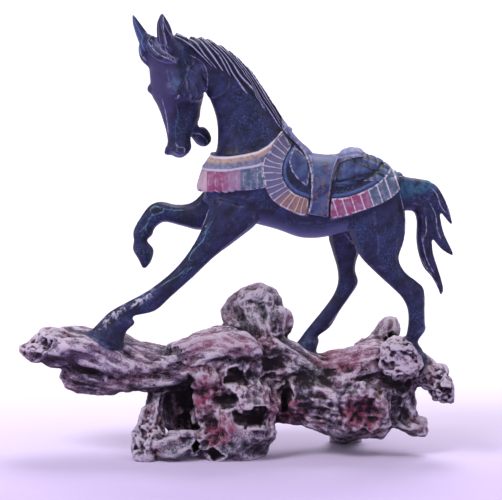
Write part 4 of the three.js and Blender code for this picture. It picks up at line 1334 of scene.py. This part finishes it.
# Saddle cloth: a fan of slate and ochre between white ribs, and a rear border.
fan_t = sheet.field("fan_t")
rear_t = sheet.field("rear_t")
fan_ribs = sheet.times(sheet.stripe(fan_t, 0.11), sheet.rise(scuff, 0.3, 0.5, 0.35, 1.0), 0.7)
rear_ribs = sheet.times(sheet.stripe(rear_t, 0.1), sheet.rise(scuff, 0.3, 0.5, 0.3, 1.0), 0.8)
fan = sheet.coated(
    FAN_SLATE,
    (sheet.rise(fan_t, 9.4, 11.0), FAN_OCHRE),
    (sheet.rise(scuff, 0.4, 0.65, 0.0, 0.6), WASH_MAUVE),
    (fan_ribs, RIM_WHITE),
    (sheet.times(sheet.on("fan", 1.9, 1.0), wear, 0.75), RIM_WHITE),
)
rear = sheet.coated(
    TILE_RED,
    (sheet.rise(rear_t, 4.6, 5.2), TILE_TEAL),
    (sheet.rise(rear_t, 8.2, 8.8), COAT_SLATE),
    (sheet.rise(scuff, 0.42, 0.68, 0.0, 0.5), TILE_GREY),
    (rear_ribs, RIM_WHITE),
    (sheet.times(sheet.on("rear", 1.9, 1.0), wear, 0.75), RIM_WHITE),
)
quilt = sheet.mix(sheet.rise(streak, 0.35, 0.7), COAT_SLATE, SEAT_BLUE)
back = sheet.mix(sheet.rise(scuff, 0.52, 0.62, 0.0, 0.5), quilt, COAT_TEAL)
panel = sheet.mix(sheet.times(sheet.on("panel", 1.9, 1.0, 0.0, 0.6), wear), quilt, RIM_WHITE)
piping = sheet.times(sheet.on("piping", 0.0, 1.2), sheet.rise(scuff, 0.35, 0.6, 0.95, 0.45))
cloth = sheet.coated(
    coat,
    (sheet.on("band", -0.3, 0.5), band),
    (sheet.on("fan", -0.4, 0.4), fan),
    (sheet.on("rear", -0.4, 0.4), rear),
    (sheet.on("back_panel", -0.3, 0.5), back),
    (piping, PIPE_BLUE),
    (sheet.on("panel", -0.3, 0.5), panel),
    (sheet.on("cut", 1.0, 1.9, 0.0, 0.9), COAT_SHADOW),
)

# Seat and flap: worn blue leather, brown where the top coat has gone, with a painted highlight on
# the seat's top and a painted shadow under the flap's edge.
network = sheet.math("SUBTRACT", sheet.noise(7.0, 2.0, stretch=(0.5, 1.0, 1.0)), 0.5)
network = sheet.rise(sheet.math("ABSOLUTE", network), 0.035, 0.01, 0.0, 0.7)
# Painted highlight on the seat's top, where it faces the light.
seat_top_highlight = sheet.times(sheet.on("low", 296.0, 308.0), sheet.rise(streak, 0.3, 0.6, 0.5, 0.95))
leather = sheet.coated(
    SEAT_BLUE,
    (sheet.rise(streak, 0.35, 0.65), COAT_SLATE),
    (seat_top_highlight, SEAT_HIGHLIGHT),
    (network, FLAP_BROWN),
    (sheet.times(sheet.on("flap_front", 7.2, 7.8), wear, 0.8), RIM_WHITE),
    (sheet.times(sheet.on("flap_back", 6.8, 7.8), wear, 0.8), FLAP_BROWN),
    (sheet.times(worn_edge_and_highlight, 0.4), EDGE_PALE),
)
# Painted shadow just outside the raised flap's edge.
shadow_under_flap = sheet.times(sheet.on("flap", -2.6, -0.9), sheet.on("flap", 0.3, -0.3), 0.85)
grime = sheet.times(sheet.rise(speckle, 0.5, 0.66, 0.0, 0.4), sheet.on("piping", -9.0, -8.9))
dressed = sheet.coated(
    cloth,
    (shadow_under_flap, COAT_SHADOW),
    (sheet.on("flap", -0.3, 0.4), leather),
    (grime, COAT_SLATE),
)

# Root: a thin mauve wash over grey wood, red and teal washes low down, dark wood showing where the
# wash is thin.
# It is whiter on the ridges and tops, partly whitewash and partly a painted highlight, and painted
# shade darkens the hollows and the undersides.
along_grain = sheet.vector_field("grain")
fibre = sheet.noise(0.9, 4.0, 0.7, place=along_grain)
vein = sheet.noise(3.2, 4.0, 0.6, place=along_grain)
grit = sheet.noise(1.1, 2.0)
patch = sheet.noise(30.0, 3.0)
tint = sheet.noise(13.0, 3.0, stretch=(1.0, 1.0, 1.3))
mottle = sheet.noise(8.0, 5.0, 0.65)
tone_with_painted_light = 0.5
for texture, amount in ((fibre, 1.3), (vein, 0.8), (mottle, 0.5), (patch, 0.6), (grit, 1.5)):
    tone_with_painted_light = sheet.math("ADD", tone_with_painted_light, sheet.times(sheet.math("SUBTRACT", texture, 0.5), amount))
# Forms, crests, edges and upward faces lift the tone, and hollows and the shade ovals lower it:
# painted highlight and painted shade.
for name, amount in (("form", 0.1), ("crest", 0.2), ("edge", 0.5), ("up", 0.14), ("pale", 0.2),
                     ("eaten", 0.12), ("painted_shade", -0.4)):
    tone_with_painted_light = sheet.math("ADD", tone_with_painted_light, sheet.times(sheet.field(name), amount))
red = sheet.times(
    sheet.field("red"),
    sheet.rise(mottle, 0.36, 0.6, 0.25, 1.0),
    sheet.on("low", 120.0, 60.0, 0.3, 0.9),
)
wash = sheet.coated(
    WASH_MAUVE,
    (sheet.rise(patch, 0.44, 0.58), WASH_PINK),
    (sheet.rise(tint, 0.52, 0.66, 0.0, 0.7), WASH_GREEN),
    (sheet.rise(tint, 0.46, 0.34, 0.0, 0.5), WASH_CREAM),
    (sheet.times(sheet.field("violet"), 0.7), WASH_VIOLET),
    (sheet.times(sheet.field("pink"), 0.7), WASH_ROSE),
    (sheet.times(sheet.field("green"), 0.7), WASH_GREEN),
    (red, WASH_RED),
    (sheet.times(sheet.on("low", 26.0, 8.0), sheet.rise(cloud, 0.4, 0.56), 0.75), WASH_TEAL),
)
# Pale whitewash where the tone is high, partly a painted highlight on crests, edges and tops.
pale = sheet.times(sheet.rise(tone_with_painted_light, 0.56, 1.12, 0.0, 0.95), sheet.math("SUBTRACT", 1.0, red))
root = sheet.coated(
    DARK_WOOD_AND_SHADE,
    (sheet.rise(tone_with_painted_light, 0.02, 0.58), wash),
    (pale, WASH_PALE),
    # Painted shade on the undersides and in the hollows.
    (sheet.on("up", 0.0, -0.8, 0.0, 0.65), DARK_WOOD_AND_SHADE),
    (sheet.on("open", 0.92, 0.45, 0.0, 0.97), DARK_WOOD_AND_SHADE),
)

painted = sheet.math("ADD", sheet.field("horse"), sheet.rise(fibre, 0.3, 0.7, -0.25, 0.25))
surface = sheet.mix(sheet.rise(painted, 0.35, 0.7), root, dressed)
height = sheet.times(fibre, 1.5, sheet.on("horse", 0.7, 0.3))
height = sheet.math("ADD", height, sheet.times(speckle, 0.25))
gloss = sheet.on("horse", 0.3, 0.8, 0.85, 0.5)
carving.data.materials.clear()
carving.data.materials.append(sheet.finish(surface, gloss, height, 0.7))

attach(carving, "root")
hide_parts("horse_on_root")

# The room
# A pale sheet that runs under the carving and curves up behind it, soft light from the
# upper left, and a long lens a little above the saddle, as in the photograph.
VIEW_HEIGHT = 10.0  # degrees that the camera looks down
FRAME_WIDTH = 0.502  # metres that the picture spans at the carving
CAMERA_AWAY = 4.0
AIM = np.array([0.016, -0.0005, 0.2055])
SHEET_BEND = 0.9  # where the paper leaves the floor, and the radius of its bend
PAPER_NEAR = shade(206, 188, 232)
PAPER_FAR = shade(246, 238, 252)

sweep = bmesh.new()
rows = []
for along in np.linspace(-1.2, 1.8, 40).tolist():
    turn = min(max(0.0, along - SHEET_BEND) / SHEET_BEND, math.pi / 2)
    y = min(along, SHEET_BEND) + SHEET_BEND * math.sin(turn)
    z = SHEET_BEND * (1 - math.cos(turn))
    rows.append([sweep.verts.new((x, y, z)) for x in (-3.0, 3.0)])
for low_row, high_row in zip(rows[:-1], rows[1:]):
    sweep.faces.new((low_row[0], low_row[1], high_row[1], high_row[0]))
floor_mesh = bpy.data.meshes.new("floor")
sweep.to_mesh(floor_mesh)
sweep.free()
floor = bpy.data.objects.new("floor", floor_mesh)
bpy.context.scene.collection.objects.link(floor)
for face in floor_mesh.polygons:
    face.use_smooth = True
paper = Sheet("paper")
split = paper.node("ShaderNodeSeparateXYZ")
paper.put(split.inputs[0], paper.node("ShaderNodeTexCoord").outputs["Object"])
away = paper.rise(split.outputs[1], -0.25, 0.55)
sheet_colour = paper.mix(away, PAPER_NEAR, PAPER_FAR)
floor_mesh.materials.append(paper.finish(sheet_colour, 0.9, paper.noise(3.0), 0.02))

world = bpy.data.worlds.new("studio")
bpy.context.scene.world = world
world.use_nodes = True
world.node_tree.nodes["Background"].inputs[0].default_value = (1.0, 0.965, 1.0, 1)
world.node_tree.nodes["Background"].inputs[1].default_value = 0.5


def softbox(name, place, size, watts):
    light = bpy.data.lights.new(name, "AREA")
    light.shape = "SQUARE"
    light.size = size
    light.energy = watts
    made = bpy.data.objects.new(name, light)
    made.location = place
    aim = Vector((0, 0, 0.2)) - Vector(place)
    made.rotation_euler = aim.to_track_quat("-Z", "Y").to_euler()
    bpy.context.scene.collection.objects.link(made)


softbox("key", (-1.5, -1.3, 2.3), 1.1, 50)
softbox("fill", (1.8, -1.6, 1.1), 1.4, 10)
softbox("back", (0.4, 1.3, 2.3), 1.3, 38)

camera = bpy.data.objects.new("camera", bpy.data.cameras.new("camera"))
bpy.context.scene.collection.objects.link(camera)
bpy.context.scene.camera = camera
tip = math.radians(VIEW_HEIGHT)
camera.location = AIM + CAMERA_AWAY * np.array([0, -math.cos(tip), math.sin(tip)])
camera.rotation_euler = (math.pi / 2 - tip, 0, 0)
camera.data.lens = camera.data.sensor_width * CAMERA_AWAY / FRAME_WIDTH
camera.data.clip_end = 50
bpy.context.scene.view_settings.view_transform = "Standard"
